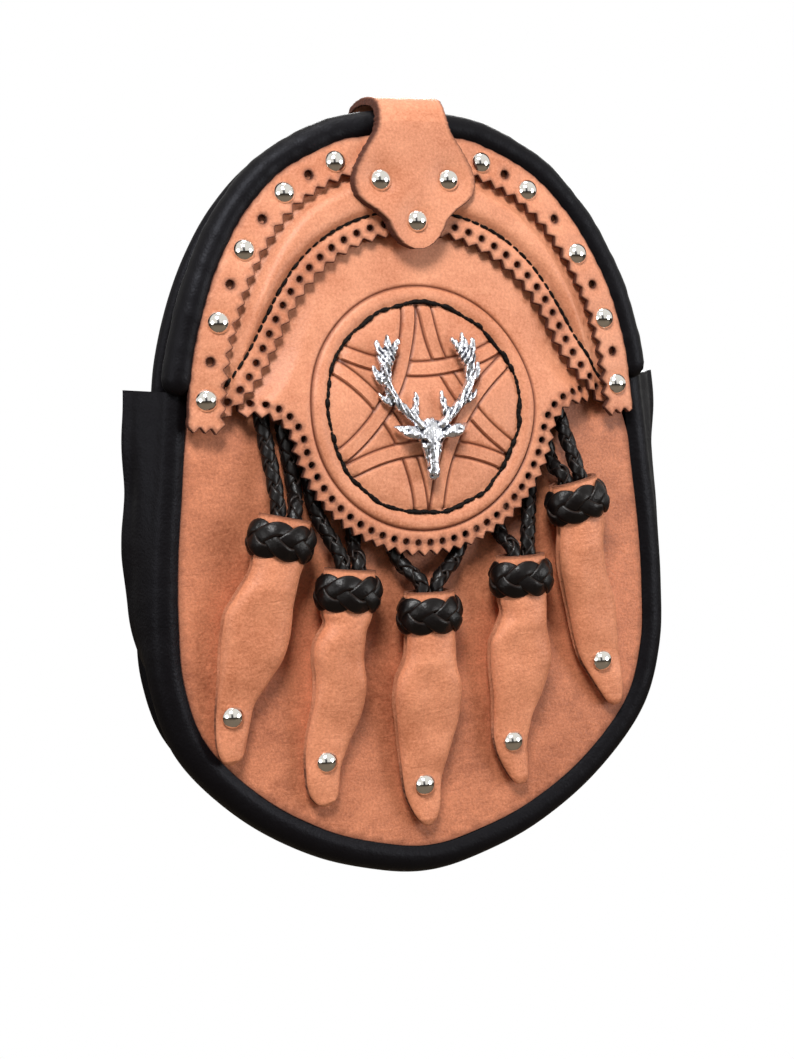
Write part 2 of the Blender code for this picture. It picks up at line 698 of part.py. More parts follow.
def tab_path():
    """Inner side of the closing tab as (y, z): up the back, over the rolls, down the front."""
    back = BACK_ROLL_Y + BACK_ROLL_RADIUS + 2.0 * GAP
    roll_y = strip_middle_y(HALF_HEIGHT) + ROLL_BEHIND_STRIP
    clear = UPPER_ROLL_RADIUS + 2.0 * GAP
    top = HALF_HEIGHT + clear
    below = HALF_HEIGHT - TAB_TIP_Z
    side = [
        (back_face(), TAB_BACK_END_Z), (back_face() + 0.3 * GAP, TAB_BACK_END_Z + 2.0 * clear),
        (back, HALF_HEIGHT - 0.8 * clear), (back + GAP, HALF_HEIGHT + 0.2 * clear),
        (back - 0.7 * clear, top - 0.1 * clear), (roll_y + 1.1 * clear, top + 0.12 * clear),
        (roll_y, top + 0.02 * clear), (roll_y - 0.72 * clear, HALF_HEIGHT + 0.76 * clear),
        (roll_y - 1.08 * clear, HALF_HEIGHT + 0.04 * clear),
    ]
    stand = BORDER_STAND + PUFF_HEIGHT + GAP
    for share in (0.84, 0.68, 0.46, 0.22):
        z = TAB_TIP_Z + share * below
        side.append((strip_middle_y(z) - stand, z))
    side.append((strip_middle_y(TAB_TIP_Z) - stand + TAB_TIP_DROOP, TAB_TIP_Z))
    path = smooth_points([Vector(p) for p in side], closed=False, steps=6)
    crown = max(range(len(path)), key=lambda i: path[i].y)
    return path[:crown + 1], path[crown:]


def make_tab(leather):
    behind, ahead = tab_path()
    behind, ahead = resample(behind, 8), resample(ahead, 17)
    neck = TAB_HALF_WIDTH * TAB_TABLE[-1][1]
    widths = [neck * min(1.0, 0.62 + 0.3 * i) for i in range(len(behind))]
    for point in ahead[1:]:
        share = (point.y - TAB_TIP_Z) / (ahead[0].y - TAB_TIP_Z)
        widths.append(TAB_HALF_WIDTH * table_value(TAB_TABLE, share))
    return ribbon("closing_tab", behind + ahead[1:], widths, TAB_THICK, leather)


def make_back_loop(leather):
    """Plain belt tunnel: flat seams above and below, the middle stood off."""
    face = back_face()
    half = LOOP_OPENING_HEIGHT / 2.0
    out = face + LOOP_OPENING_DEPTH
    points = [
        (face, LOOP_Z - half - LOOP_SEAM), (face, LOOP_Z - half), (out, LOOP_Z - half + LOOP_CORNER),
        (out, LOOP_Z + half - LOOP_CORNER), (face, LOOP_Z + half), (face, LOOP_Z + half + LOOP_SEAM),
    ]
    path = [Vector(p) for p in points]
    return ribbon("back_loop", path, [LOOP_HALF_WIDTH] * len(path), LOOP_THICK, leather, (-1.0, 1.0))


def stud_mesh(material):
    """Domed cap, its flat back at y = 0 and its crown towards -Y."""
    work = bmesh.new()
    profile = [(0.0, -STUD_HEIGHT), (0.66 * STUD_RADIUS, -0.74 * STUD_HEIGHT), (STUD_RADIUS, 0.0), (0.0, 0.0)]
    line = [work.verts.new((r, y, 0.0)) for r, y in profile]
    edges = [work.edges.new(pair) for pair in zip(line, line[1:])]
    bmesh.ops.spin(work, geom=line + edges, axis=(0, 1, 0), cent=(0, 0, 0), angle=2 * pi, steps=10)
    bmesh.ops.remove_doubles(work, verts=work.verts, dist=1e-5)
    bmesh.ops.recalc_face_normals(work, faces=work.faces)
    mesh = bpy.data.meshes.new("stud")
    work.to_mesh(mesh)
    work.free()
    mesh.materials.append(material)
    mesh.shade_smooth()
    mesh.set_sharp_from_angle(angle=radians(35.0))
    return mesh


def place_stud(name, mesh, x, y, z, lean=0.0):
    """Stud standing on a face at depth y."""
    stud = bpy.data.objects.new(name, mesh)
    bpy.context.collection.objects.link(stud)
    stud.location = (x, y - GAP, z)
    stud.rotation_euler = (lean, 0.0, 0.0)
    return stud


def lowest_front(front, x, z, radius):
    """Foremost depth of a face under a round piece."""
    return min(front(x + radius * cos(a * pi / 4), z + radius * sin(a * pi / 4)) for a in range(8))


def make_studs(mesh):
    for number, (x, z) in enumerate(strip_stud_places()[0], 1):
        y = min(lowest_front(strip_front, x, z, STUD_RADIUS), strip_front(x, z))
        place_stud(f"strip_stud_{number:02d}", mesh, x, y, z)
    _, ahead = tab_path()
    for number, (across, up) in enumerate(TAB_STUDS, 1):
        z = TAB_TIP_Z + up * (ahead[0].y - TAB_TIP_Z)
        near = [p.x for p in ahead if abs(p.y - z) < 1.5 * STUD_RADIUS]
        place_stud(f"tab_stud_{number:02d}", mesh, across * TAB_HALF_WIDTH, min(near) - TAB_THICK, z)


def knot_walls():
    """Half width and half depth of the knot's hole, round the leather's head."""
    return TASSEL_TABLE[0][1] * TASSEL_HALF_WIDTH + GAP, TASSEL_NECK_DEPTH / 2.0 + GAP


def tassel_depth():
    """Depth of the knots' middles, clear of the front wall."""
    return PANEL_FRONT_Y - knot_walls()[1] - KNOT_WALL - KNOT_CLEARANCE


def tip_set_back():
    """How far the tassel's tip lies behind its knot."""
    return PANEL_FRONT_Y - TIP_CLEARANCE - 0.21 * TASSEL_NECK_DEPTH - tassel_depth()


def tassel_rings():
    """Outer rings from the tip up, then the hollow's rings from the rim down."""
    sides = 10
    outer, inner = [], []
    for along, wide, deep, set_back in TASSEL_TABLE:
        z = -along * TASSEL_LENGTH
        half_wide = wide * TASSEL_HALF_WIDTH
        half_deep = deep * TASSEL_NECK_DEPTH / 2.0
        for rings, wall in ((outer, 0.0), (inner, TASSEL_WALL)):
            rings.append([((half_wide - wall) * cos(2 * pi * i / sides),
                           set_back * tip_set_back() + (half_deep - wall) * sin(2 * pi * i / sides), z)
                          for i in range(sides)])
    return list(reversed(outer)) + inner[:4]


def tassel_front(along):
    """Foremost depth of the tassel's leather at a share of its length."""
    deep, set_back = table_value(TASSEL_TABLE, along, 2), table_value(TASSEL_TABLE, along, 3)
    return set_back * tip_set_back() - deep * TASSEL_NECK_DEPTH / 2.0


def knot_rings():
    """Thick ring round the tassel's head, hollow for the leather."""
    around = 12
    wall_x, wall_y = knot_walls()
    section = [(0.0, -0.72), (0.0, 0.72), (0.5, 1.0), (1.0, 0.5), (1.0, -0.5), (0.5, -1.0)]
    rings = []
    for i in range(around):
        turn = 2.0 * pi * i / around
        ring = []
        for out, up in section:
            x = (wall_x + out * KNOT_WALL) * cos(turn)
            y = (wall_y + out * KNOT_WALL) * sin(turn)
            ring.append((x, y, up * KNOT_HALF_HEIGHT))
        rings.append(ring)
    return rings


def from_medallion(shares):
    """Point given as shares of the medallion's edge radius from its centre."""
    u, v = shares
    return Vector((u * MEDALLION_EDGE_RADIUS, MEDALLION_Z + v * MEDALLION_EDGE_RADIUS))


def make_tassels(tan, black, stud):
    meshes = []
    stud_reach = STUD_RADIUS / TASSEL_LENGTH
    stud_share = TASSEL_STUD_DROP / TASSEL_LENGTH
    stud_y = min(tassel_front(stud_share - stud_reach), tassel_front(stud_share + stud_reach))
    for number, (place, lean, *routes) in enumerate(TASSELS, 1):
        head = from_medallion(place)
        frame = bpy.data.objects.new(f"tassel_{number}", None)
        bpy.context.collection.objects.link(frame)
        frame.location = (head.x, tassel_depth(), head.y)
        frame.rotation_euler = (0.0, -radians(lean), 0.0)
        if meshes:
            pieces = [bpy.data.objects.new(f"{name}_{number}", mesh) for name, mesh in meshes]
            for piece in pieces:
                bpy.context.collection.objects.link(piece)
        else:
            pieces = [loft("tassel_leather_1", tassel_rings(), tan),
                      loft("tassel_knot_1", knot_rings(), black, closed=True)]
            meshes = [("tassel_leather", pieces[0].data), ("tassel_knot", pieces[1].data)]
        pieces.append(place_stud(f"tassel_stud_{number}", stud, 0.0, stud_y, -TASSEL_STUD_DROP))
        for piece in pieces:
            piece.parent = frame
        make_tassel_cords(number, head, lean, routes, black)


def make_tassel_cords(number, middle, lean, routes, black):
    """Two braided cords from under the flap down into the tassel's head."""
    turn = radians(lean)
    down = Vector((sin(turn), 0.0, -cos(turn)))
    across = Vector((cos(turn), 0.0, sin(turn)))
    head = Vector((middle.x, tassel_depth(), middle.y))
    spacing = CORD_DIAMETER / 2.0 + 0.5 * CORD_PITCH_EXTRA
    for side, letter, route in ((-1.0, "a", routes[0]), (1.0, "b", routes[1])):
        behind_flap = []
        for flat in map(from_medallion, route):
            y = panel_front(flat.x, flat.y) - CORD_CLEARANCE - CORD_DIAMETER / 2.0
            behind_flap.append(Vector((flat.x, y, flat.y)))
        entry = head + across * side * spacing
        above = entry - down * (KNOT_HALF_HEIGHT + CORD_BEND_ABOVE_HEAD) - across * side * 0.25 * CORD_PITCH_EXTRA
        inside = entry + down * CORD_DEPTH_IN_HEAD
        curve = smooth_points(behind_flap + [above, entry, inside], closed=False)
        points = resample(curve, ceil(path_length(curve) / (1.6 * CORD_DIAMETER)) + 1)
        tube(f"tassel_cord_{number}{letter}", points, CORD_DIAMETER / 2.0, black)


def stroke(rows, side, height, origin_z, steps=3):
    """Outline of a tapered stroke and its middle points."""
    spine = [Vector((side * u * height, origin_z + v * height, w * height)) for u, v, w in rows]
    line = smooth_points(spine, closed=False, steps=steps)
    flat = [Vector((p.x, p.y)) for p in line]
    normals = left_normals(flat)
    left = [p + n * q.z for p, n, q in zip(flat, normals, line)]
    right = [p - n * q.z for p, n, q in zip(flat, normals, line)]
    outline = left + list(reversed(right))
    return outline, line


def make_badge(metal):
    """Stag's head and antlers: tapered strokes merged into one raised casting."""
    strokes = [stroke(BADGE_FACE, 1.0, BADGE_HEIGHT, BADGE_NOSE_Z, 1)]
    for side in (-1.0, 1.0):
        strokes.append(stroke(ANTLER_BEAM, side, BADGE_HEIGHT, BADGE_NOSE_Z, 2))
        strokes.append(stroke(BADGE_EAR, side, BADGE_HEIGHT, BADGE_NOSE_Z, 1))
        for tine in ANTLER_TINES:
            strokes.append(stroke(tine, side, BADGE_HEIGHT, BADGE_NOSE_Z, 1))
    coordinates, edges, ridges = [], [], []
    for outline, line in strokes:
        start = len(coordinates)
        coordinates += outline
        edges += [(start + i, start + (i + 1) % len(outline)) for i in range(len(outline))]
        ridges += line
    seat = min(flap_front(p.x, p.y) for p in coordinates) - GAP

    def relief(x, z):
        rise = 0.0
        for p in ridges:
            share = 1.0 - min(1.0, hypot(x - p.x, z - p.y) / (p.z + 1e-6))
            rise = max(rise, share ** 0.6 * min(1.0, p.z / (0.1 * BADGE_HEIGHT) + 0.35))
        return seat - BADGE_EDGE - BADGE_RELIEF * rise

    middle = [Vector((p.x, p.y)) for p in ridges]
    flat, _, triangles, _, _, _ = delaunay_2d_cdt(coordinates + middle, edges, [], INSIDE, 2e-5)
    count = len(flat)
    vertices = [(p.x, relief(p.x, p.y), p.y) for p in flat] + [(p.x, seat, p.y) for p in flat]
    faces = [tuple(t) for t in triangles] + [tuple(i + count for i in reversed(t)) for t in triangles]
    used = set()
    for t in triangles:
        used.update(zip(t, list(t[1:]) + [t[0]]))
    faces += [(b, a, a + count, b + count) for a, b in used if (b, a) not in used]
    return mesh_object("stag_badge", vertices, faces, metal)


def build():
    for thing in list(bpy.data.objects):
        bpy.data.objects.remove(thing, do_unlink=True)
    tan = make_material("tan_leather", (0.52, 0.25, 0.13), 0.55)
    panel_tan = make_material("panel_leather", (0.42, 0.19, 0.10), 0.60)
    black = make_material("black_leather", (0.012, 0.012, 0.014), 0.50)
    lace = make_material("black_lace", (0.010, 0.009, 0.010), 0.30)
    nickel = make_material("nickel", (0.82, 0.80, 0.76), 0.12, 1.0)
    silver = make_material("antique_silver", (0.62, 0.61, 0.60), 0.30, 1.0)
    make_back_panel(black)
    make_rolls(black)
    make_gusset(black)
    make_front_panel(panel_tan)
    make_flap(tan)
    make_arch(tan)
    make_strip(tan)
    make_tab(tan)
    make_back_loop(black)
    stud = stud_mesh(nickel)
    make_studs(stud)
    make_tassels(tan, lace, stud)
    make_badge(silver)
    hang = bpy.data.objects.new("hang_point", None)
    bpy.context.collection.objects.link(hang)
    tunnel_y = back_face() + LOOP_OPENING_DEPTH / 2.0
    hang.location = (0.0, -tunnel_y, -LOOP_Z)
    for thing in list(bpy.data.objects):
        if thing is not hang and thing.parent is None:
            thing.parent = hang


build()
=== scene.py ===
from math import cos, pi, radians, sin

import bmesh
import bpy
import numpy as np
from mathutils import Matrix, Vector
from mathutils.geometry import delaunay_2d_cdt


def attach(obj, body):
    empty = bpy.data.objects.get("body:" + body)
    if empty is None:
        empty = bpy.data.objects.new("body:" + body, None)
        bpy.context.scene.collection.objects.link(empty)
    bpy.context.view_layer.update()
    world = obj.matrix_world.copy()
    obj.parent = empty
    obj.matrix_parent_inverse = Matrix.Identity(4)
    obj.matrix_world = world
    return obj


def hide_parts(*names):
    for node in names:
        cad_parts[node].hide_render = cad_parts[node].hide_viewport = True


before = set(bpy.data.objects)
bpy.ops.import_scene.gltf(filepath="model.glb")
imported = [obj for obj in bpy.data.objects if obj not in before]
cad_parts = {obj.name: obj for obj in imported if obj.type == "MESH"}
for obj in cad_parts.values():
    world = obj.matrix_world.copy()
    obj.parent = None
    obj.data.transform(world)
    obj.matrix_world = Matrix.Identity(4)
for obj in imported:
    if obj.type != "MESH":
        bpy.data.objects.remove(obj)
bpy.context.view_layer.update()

RANDOM = np.random.default_rng(7)

# Sizes shared with the part's source
HALF_WIDTH, HALF_HEIGHT, SHOULDER_Z = 0.0794, 0.1091, 0.0340
STRIP_THICK, ARCH_THICK, FLAP_THICK, PANEL_THICK = 0.0022, 0.0022, 0.0020, 0.0018
BACK_THICK, GUSSET_THICK, TAB_THICK, LOOP_THICK = 0.0020, 0.0018, 0.0026, 0.0024
GAP, LAYER_SLACK, FLAP_SLACK = 0.0003, 0.0004, 0.0008
UPPER_ROLL_RADIUS, LOWER_ROLL_RADIUS, BACK_ROLL_RADIUS = 0.0044, 0.0053, 0.0024
BACK_ROLL_Y, ROLL_BEHIND_STRIP, ROLL_BEHIND_PANEL, ROLL_END_GAP = 0.0198, 0.0036, 0.0043, 0.0012
ROLL_UNDER_STRIP, PANEL_UNDER_ROLL = 0.66, 0.62
BACK_BELLY, BACK_BELLY_REACH = 0.0078, 0.0900
GUSSET_BOW, GUSSET_BOW_LOW_Z, GUSSET_STATIONS = 0.0076, -0.0650, (0.10, 0.36, 0.62, 0.90)
GUSSET_RECESS, GUSSET_RECESS_TOP_Z, GUSSET_RECESS_REACH, GUSSET_HEM_INSET = 0.0058, -0.0300, 0.0400, 0.0014
STRIP_SET_BACK, STRIP_BEND_Z, STRIP_BEND_REACH, STRIP_LIFT = 0.0032, 0.0500, 0.0500, 0.0016
BORDER_STAND, BORDER_END_LIFT, BORDER_END_Z, BORDER_END_REACH = 0.0006, 0.0016, 0.0450, 0.0200
PUFF_HEIGHT, PUFF_RISE, PUFF_EDGE = 0.0012, 0.0036, 0.0040
FLAP_LEAN, FLAP_LEAN_REACH, FLAP_LEAN_EDGE = 0.0048, 0.0600, 0.0090
PANEL_FRONT_Y, PANEL_SLOPE, PANEL_STEP_Z, PANEL_STEP_REACH = 0.0036, 0.0115, 0.0120, 0.0180
STRIP_WIDTH, STUD_LINE, STRIP_END_Z = 0.0126, 0.0078, 0.0205
STRIP_TOOTH_PITCH, STRIP_END_TOOTH_PITCH, TOOTH_DEPTH = 0.0044, 0.0031, 0.0013
STUD_TO_TAB, STUD_TO_STRIP_END, STUD_RUN_STEPS = 0.0035, 0.0092, 200
STUD_RADIUS, STUD_HEIGHT = 0.00325, 0.0019
MEDALLION_Z, ARCH_RADIUS, ARCH_END_Z, BORDER_WIDTH = 0.0251, 0.0520, 0.0230, 0.0064
FLAP_UNDERLAP, ARCH_HOLE_PITCH, HOLE_TO_EDGE, HOLE_RADIUS = 0.0010, 0.0046, 0.0031, 0.00095
MEDALLION_EDGE_RADIUS, FLAP_HOLE_PITCH, WING_TIP_X = 0.0429, 0.00395, 0.0572
TAB_HALF_WIDTH, TAB_TIP_Z, TAB_TIP_DROOP, TAB_BACK_END_Z = 0.0196, 0.0720, 0.0009, 0.0860
LOOP_RISE, LOOP_HALF_WIDTH, LOOP_OPENING_HEIGHT, LOOP_OPENING_DEPTH = 0.55, 0.0380, 0.0340, 0.0060
LOOP_Z = LOOP_RISE * HALF_HEIGHT
LOOP_SEAM, LOOP_CORNER = 0.0070, 0.0030
TASSEL_NECK_DEPTH, TASSEL_HEAD_HALF_WIDTH, TIP_CLEARANCE = 0.0100, 0.0080, 0.0021
KNOT_WALL, KNOT_HALF_HEIGHT, KNOT_CLEARANCE = 0.0020, 0.0062, 0.0009
CORD_DIAMETER, CORD_CLEARANCE, CORD_PITCH_EXTRA = 0.0044, 0.0009, 0.0016
CORD_DEPTH_IN_HEAD, CORD_BEND_ABOVE_HEAD = 0.0030, 0.0030
BACK_FACE = BACK_ROLL_Y + BACK_THICK / 2.0 + GAP
KNOT_HOLE = (TASSEL_HEAD_HALF_WIDTH + GAP, TASSEL_NECK_DEPTH / 2.0 + GAP)
TASSEL_Y = PANEL_FRONT_Y - KNOT_HOLE[1] - KNOT_WALL - KNOT_CLEARANCE
TIP_SET_BACK = PANEL_FRONT_Y - TIP_CLEARANCE - 0.21 * TASSEL_NECK_DEPTH - TASSEL_Y
HANG = np.array([0.0, -(BACK_FACE + LOOP_OPENING_DEPTH / 2.0), -LOOP_Z])

RIM_TABLE = [
    (0.000, 1.000), (0.183, 0.988), (0.317, 0.966), (0.529, 0.888), (0.681, 0.778),
    (0.787, 0.657), (0.865, 0.525), (0.921, 0.376), (0.945, 0.230), (0.969, 0.048),
    (0.996, -0.137), (1.006, -0.312), (0.993, -0.484), (0.910, -0.656), (0.697, -0.819),
    (0.438, -0.936), (0.186, -0.998), (0.000, -1.018),
]
ARCH_TABLE = [
    (-1.0, 1.180), (3.0, 1.115), (7.0, 1.050), (12.0, 0.995), (20.0, 0.958),
    (30.0, 0.950), (50.0, 0.973), (70.0, 0.994), (90.0, 1.000),
]
WING_TABLE = [(0.105, -0.245), (0.406, -0.035), (0.776, 0.035), (1.000, 0.035)]
STRIP_STUD_RUNS = [
    (-1.0, (0.0, 0.220, 0.470, 0.735, 1.0)), (1.0, (0.0, 0.205, 0.500, 0.755, 1.0)),
]
TAB_STUDS = [(-0.556, 0.470), (0.556, 0.470), (0.0, 0.190)]
TAB_TABLE = [
    (0.00, 0.08), (0.04, 0.27), (0.12, 0.42), (0.19, 0.50), (0.26, 0.66), (0.32, 0.86), (0.38, 0.97),
    (0.47, 1.00), (0.58, 0.92), (0.69, 0.77), (0.80, 0.62), (0.90, 0.56), (1.00, 0.55),
]
TASSELS = [
    ((-1.105, -0.844), -13.0, [(-1.159, 0.044), (-1.147, -0.107)], [(-1.007, -0.084), (-0.956, -0.492)]),
    ((-0.632, -1.231), -6.6, [(-0.848, -0.375), (-0.800, -0.678)], [(-0.517, -0.585), (-0.536, -0.923)]),
    ((-0.028, -1.427), -1.0, [(-0.284, -0.655), (-0.219, -1.016)], [(0.319, -0.655), (0.256, -1.016)]),
    ((0.692, -1.224), 0.7, [(0.527, -0.585), (0.587, -0.900)], [(0.853, -0.375), (0.834, -0.643)]),
    ((1.156, -0.718), 12.0, [(0.967, -0.096), (1.016, -0.417)], [(1.079, 0.091), (1.110, -0.119)]),
]

# Outlines of the five tassels' leathers, millimetres: left edge downwards, then right edge
TASSEL_EDGES = [
    ([(-55.9, -8.0), (-55.9, -14.8), (-57.4, -19.1), (-62.2, -26.2), (-65.1, -31.0), (-66.2, -38.4),
      (-66.7, -44.6), (-67.2, -50.9), (-68.0, -58.3), (-68.3, -65.8), (-67.9, -70.9), (-66.4, -74.3),
      (-63.6, -75.6)],
     [(-39.4, -8.0), (-41.3, -17.1), (-42.2, -21.5), (-44.0, -28.9), (-44.7, -35.2), (-45.5, -40.3),
      (-47.9, -46.4), (-52.1, -52.3), (-55.9, -57.6), (-57.7, -63.2), (-59.1, -69.4), (-60.5, -73.3),
      (-63.4, -75.6)]),
    ([(-34.2, -26.0), (-33.8, -32.3), (-35.0, -36.1), (-38.0, -40.9), (-38.7, -46.0), (-37.9, -52.5),
      (-38.6, -60.1), (-40.0, -66.3), (-41.0, -72.6), (-41.2, -81.6), (-40.2, -86.9), (-37.6, -90.2),
      (-34.4, -91.3)],
     [(-20.6, -26.0), (-21.3, -34.0), (-22.0, -39.7), (-22.6, -47.4), (-22.0, -55.3), (-22.9, -63.0),
      (-25.6, -69.2), (-28.5, -75.3), (-30.2, -80.3), (-31.3, -88.0), (-34.2, -91.3)]),
    ([(-8.9, -34.0), (-9.0, -42.2), (-9.8, -48.6), (-12.3, -54.9), (-13.1, -61.3), (-12.2, -69.3),
      (-11.2, -77.3), (-10.6, -83.9), (-9.4, -90.6), (-6.9, -96.3), (-4.2, -99.9), (-2.2, -100.8)],
     [(6.7, -34.0), (6.8, -43.6), (7.1, -51.5), (8.8, -58.3), (8.6, -66.2), (7.0, -72.7), (4.0, -81.6),
      (2.3, -88.1), (1.7, -95.5), (-0.3, -100.0), (-2.0, -100.8)]),
    ([(22.2, -25.0), (22.9, -32.6), (22.7, -37.9), (20.4, -43.0), (18.9, -46.9), (19.2, -54.9),
      (20.0, -61.6), (20.3, -69.7), (20.3, -76.3), (21.8, -81.9), (24.7, -87.2), (27.2, -90.8),
      (29.4, -91.7)],
     [(37.6, -25.0), (38.1, -33.9), (37.7, -41.8), (38.9, -47.3), (39.7, -52.8), (38.8, -58.1),
      (36.4, -64.6), (33.3, -71.0), (31.9, -78.9), (32.1, -84.4), (32.0, -89.1), (31.2, -91.2),
      (29.6, -91.7)]),
    ([(42.0, -3.0), (43.2, -12.8), (42.8, -19.5), (43.3, -26.2), (44.9, -33.0), (46.8, -39.9),
      (48.4, -46.8), (50.6, -53.8), (54.0, -59.6), (57.8, -65.4), (60.6, -69.2), (63.0, -70.6)],
     [(56.6, -3.0), (57.7, -11.7), (58.1, -19.2), (59.2, -27.3), (61.6, -33.0), (63.1, -38.6),
      (63.9, -45.4), (64.6, -52.3), (65.4, -59.2), (66.0, -65.4), (65.9, -68.6), (64.8, -70.3),
      (63.2, -70.6)]),
]
TASSEL_STUDS = [(-63.4, -61.0), (-35.0, -77.2), (-3.7, -87.6), (26.3, -77.7), (57.9, -55.6)]

# Depth of the pinked teeth as they are cut, and the strip's holes once the leather has stretched
CUT_TOOTH_DEPTH, STRETCHED_HOLE_RADIUS = 0.00185, 0.00128
# Frayed edges, the reach of the near-edge darkening, and the reach of the dark outline beside raw edges,
# which is painted shade
FRAYING, NEAR_EDGE_FADE, RAW_EDGE_AND_SHADE_FADE = 0.00010, 0.0008, 0.00022

# Carving on the medallion: the groove, the stitched ring and the interlaced bands
GROOVE_RADIUS, STITCHED_RADIUS = 0.0362, 0.0311
BAND_ARC_RADIUS, BAND_NEAREST, BAND_WIDTH = 0.0570, 0.0116, 0.0045
# Bearing of each band's outside, and the bearings of the bands that pass over it
BANDS = {270: [330], 30: [90, 330], 150: [], 90: [150], 210: [150, 270], 330: []}

# Bearing and radius in millimetres of the arch's row of stitches
ARCH_STITCH_RADII = [
    (2.0, 66.0), (6.0, 62.6), (10.0, 60.0), (20.0, 56.3), (30.0, 55.4), (40.0, 56.0), (50.0, 57.2),
    (60.0, 58.0), (70.0, 58.4), (90.0, 58.6),
]

# Laces: four make a braided cord, and one is plaited round as a ring knot
BRAID_PITCH, BRAID_LACE_HALF_WIDTH, BRAID_LACE_THICK, BRAID_CORE_SHARE = 0.0132, 0.00158, 0.00110, 0.28
KNOT_TURNS, KNOT_BIGHTS, KNOT_LACE_HALF_WIDTH, KNOT_LACE_THICK = 3.0, 7.0, 0.00222, 0.00150
KNOT_WEAVE_MIDDLE, KNOT_WEAVE_REACH, KNOT_WEAVE_RISE = 0.00095, 0.00055, 0.00350
KNOT_SHRINK, KNOT_TILT = 0.17, 0.80

# Tassel leathers: share of the length, half depth, share of the way back to the panel
TASSEL_DEPTHS = [
    (0.00, 0.0050, 0.00), (0.12, 0.0050, 0.00), (0.28, 0.0056, 0.18), (0.44, 0.0050, 0.50),
    (0.60, 0.0036, 0.78), (0.76, 0.0024, 0.96), (0.90, 0.0021, 1.00), (1.00, 0.0017, 1.00),
]
TASSEL_WALL, TASSEL_RIM_HALF_WIDTH, TASSEL_RIM_ABOVE_KNOT = 0.0013, 0.0079, 0.0009

# Closing tab: how deep its studs press it in, and how round its edges are
TAB_DIMPLE, TAB_STUD_PRESS, TAB_PRESS_REACH, TAB_EDGE_ROUNDING = 0.00095, 0.00175, 0.0043, 0.0007
TAB_BACK_RINGS, TAB_FRONT_RINGS, TAB_TOP_POINTS, TAB_UNDER_POINTS = 40, 110, 33, 9
LOOP_RINGS, LOOP_POINTS, LOOP_EDGE = 60, 13, 0.0006
FORWARD, BACKWARD = (0.0, -1.0, 0.0), (0.0, 1.0, 0.0)

# Stag badge, millimetres in (x, z): antlers and tines of the right side with their half widths
BEAM = [
    (3.6, 20.5, 1.5), (6.6, 23.4, 1.5), (10.0, 26.6, 1.5), (12.4, 30.2, 1.55), (13.6, 34.6, 1.6),
    (13.4, 39.0, 1.9),
]
TINES = [
    [(5.4, 22.4, 1.4), (4.6, 26.0, 1.15), (4.0, 29.6, 0.75)],
    [(10.4, 27.0, 1.2), (13.2, 27.4, 1.05), (15.7, 29.8, 0.55)],
    [(13.2, 32.6, 1.3), (15.6, 34.4, 1.15), (17.0, 38.0, 0.55)],
    [(12.9, 38.6, 1.7), (11.0, 41.8, 1.35), (9.0, 45.0, 0.85)],
    [(13.3, 38.6, 1.9), (12.6, 42.4, 1.5), (12.0, 46.4, 0.80)],
    [(13.7, 38.6, 1.7), (14.9, 41.6, 1.2), (15.6, 45.0, 0.70)],
]
EAR = [(4.0, 17.4, 1.1), (6.0, 18.0, 1.9), (8.2, 18.7, 2.0), (10.0, 19.5, 1.2), (11.6, 20.2, 0.4)]
FACE = [  # height, half width, how far it stands out
    (4.2, 1.2, 2.2), (5.0, 1.9, 3.0), (6.5, 2.1, 3.3), (9.0, 2.2, 3.4), (12.0, 2.8, 3.6), (14.5, 3.6, 3.8),
    (17.0, 4.3, 3.8), (19.5, 4.0, 3.5), (21.3, 2.8, 2.8), (22.4, 1.2, 2.0),
]

LIGHTS = [  # name, place, size, power
    ("key", (-0.45, -0.90, 1.00), 0.46, 22.0), ("fill", (1.05, -1.00, 0.05), 0.70, 9.0),
    ("left", (-1.30, -0.60, 0.05), 0.70, 4.0), ("top", (0.1, 0.0, 1.3), 0.50, 5.0),
    ("behind", (0.7, 1.2, 0.5), 0.80, 16.0),
]
POUCH_MIDDLE = (0.0, -0.024, -0.06)
FLOOR_Z, FLOOR_REACH = -0.55, 30.0


class Value:
    """A node's output that can be used in arithmetic, which adds Math nodes to its tree."""

    def __init__(self, wiring, socket):
        self.wiring, self.socket = wiring, socket

    def maths(self, operation, *others):
        return self.wiring.node("ShaderNodeMath", [self, *others], operation=operation)

    def __add__(self, other):
        return self.maths("ADD", other)

    def __sub__(self, other):
        return self.maths("SUBTRACT", other)

    def __rsub__(self, other):
        return self.wiring.node("ShaderNodeMath", [other, self], operation="SUBTRACT")

    def __mul__(self, other):
        return self.maths("MULTIPLY", other)

    __radd__, __rmul__ = __add__, __mul__

    def clamped(self):
        return self.maths("MAXIMUM", 0.0).maths("MINIMUM", 1.0)


class Wiring:
    """A node tree that is built by calls: node(type, inputs, output, settings)."""

    def __init__(self, tree):
        self.tree = tree

    def node(self, kind, inputs=(), output=0, **settings):
        made = self.tree.nodes.new(kind)
        for key, setting in settings.items():
            setattr(made, key, setting)
        for key, given in inputs.items() if isinstance(inputs, dict) else enumerate(inputs):
            if isinstance(given, Value):
                self.tree.links.new(given.socket, made.inputs[key])
            else:
                made.inputs[key].default_value = given
        return None if output is None else Value(self, made.outputs[output])

    def mix(self, share, low, high):
        """Colour between low and high."""
        low, high = (colour if isinstance(colour, Value) else (*colour, 1.0) for colour in (low, high))
        return self.node("ShaderNodeMix", {0: share, 6: low, 7: high}, output=2, data_type="RGBA")

    def noise(self, place, scale, detail, roughness, distortion=0.0):
        return self.node("ShaderNodeTexNoise", {"Vector": place, "Scale": scale, "Detail": detail,
                                                "Roughness": roughness, "Distortion": distortion})

    def cells(self, place, scale):
        return self.node("ShaderNodeTexVoronoi", {"Vector": place, "Scale": scale}, feature="SMOOTH_F1")

    def mark(self, name):
        return self.node("ShaderNodeAttribute", attribute_name=name, output="Fac").clamped()

    def bump(self, height, strength, distance):
        return self.node("ShaderNodeBump", {"Height": height, "Strength": strength, "Distance": distance})


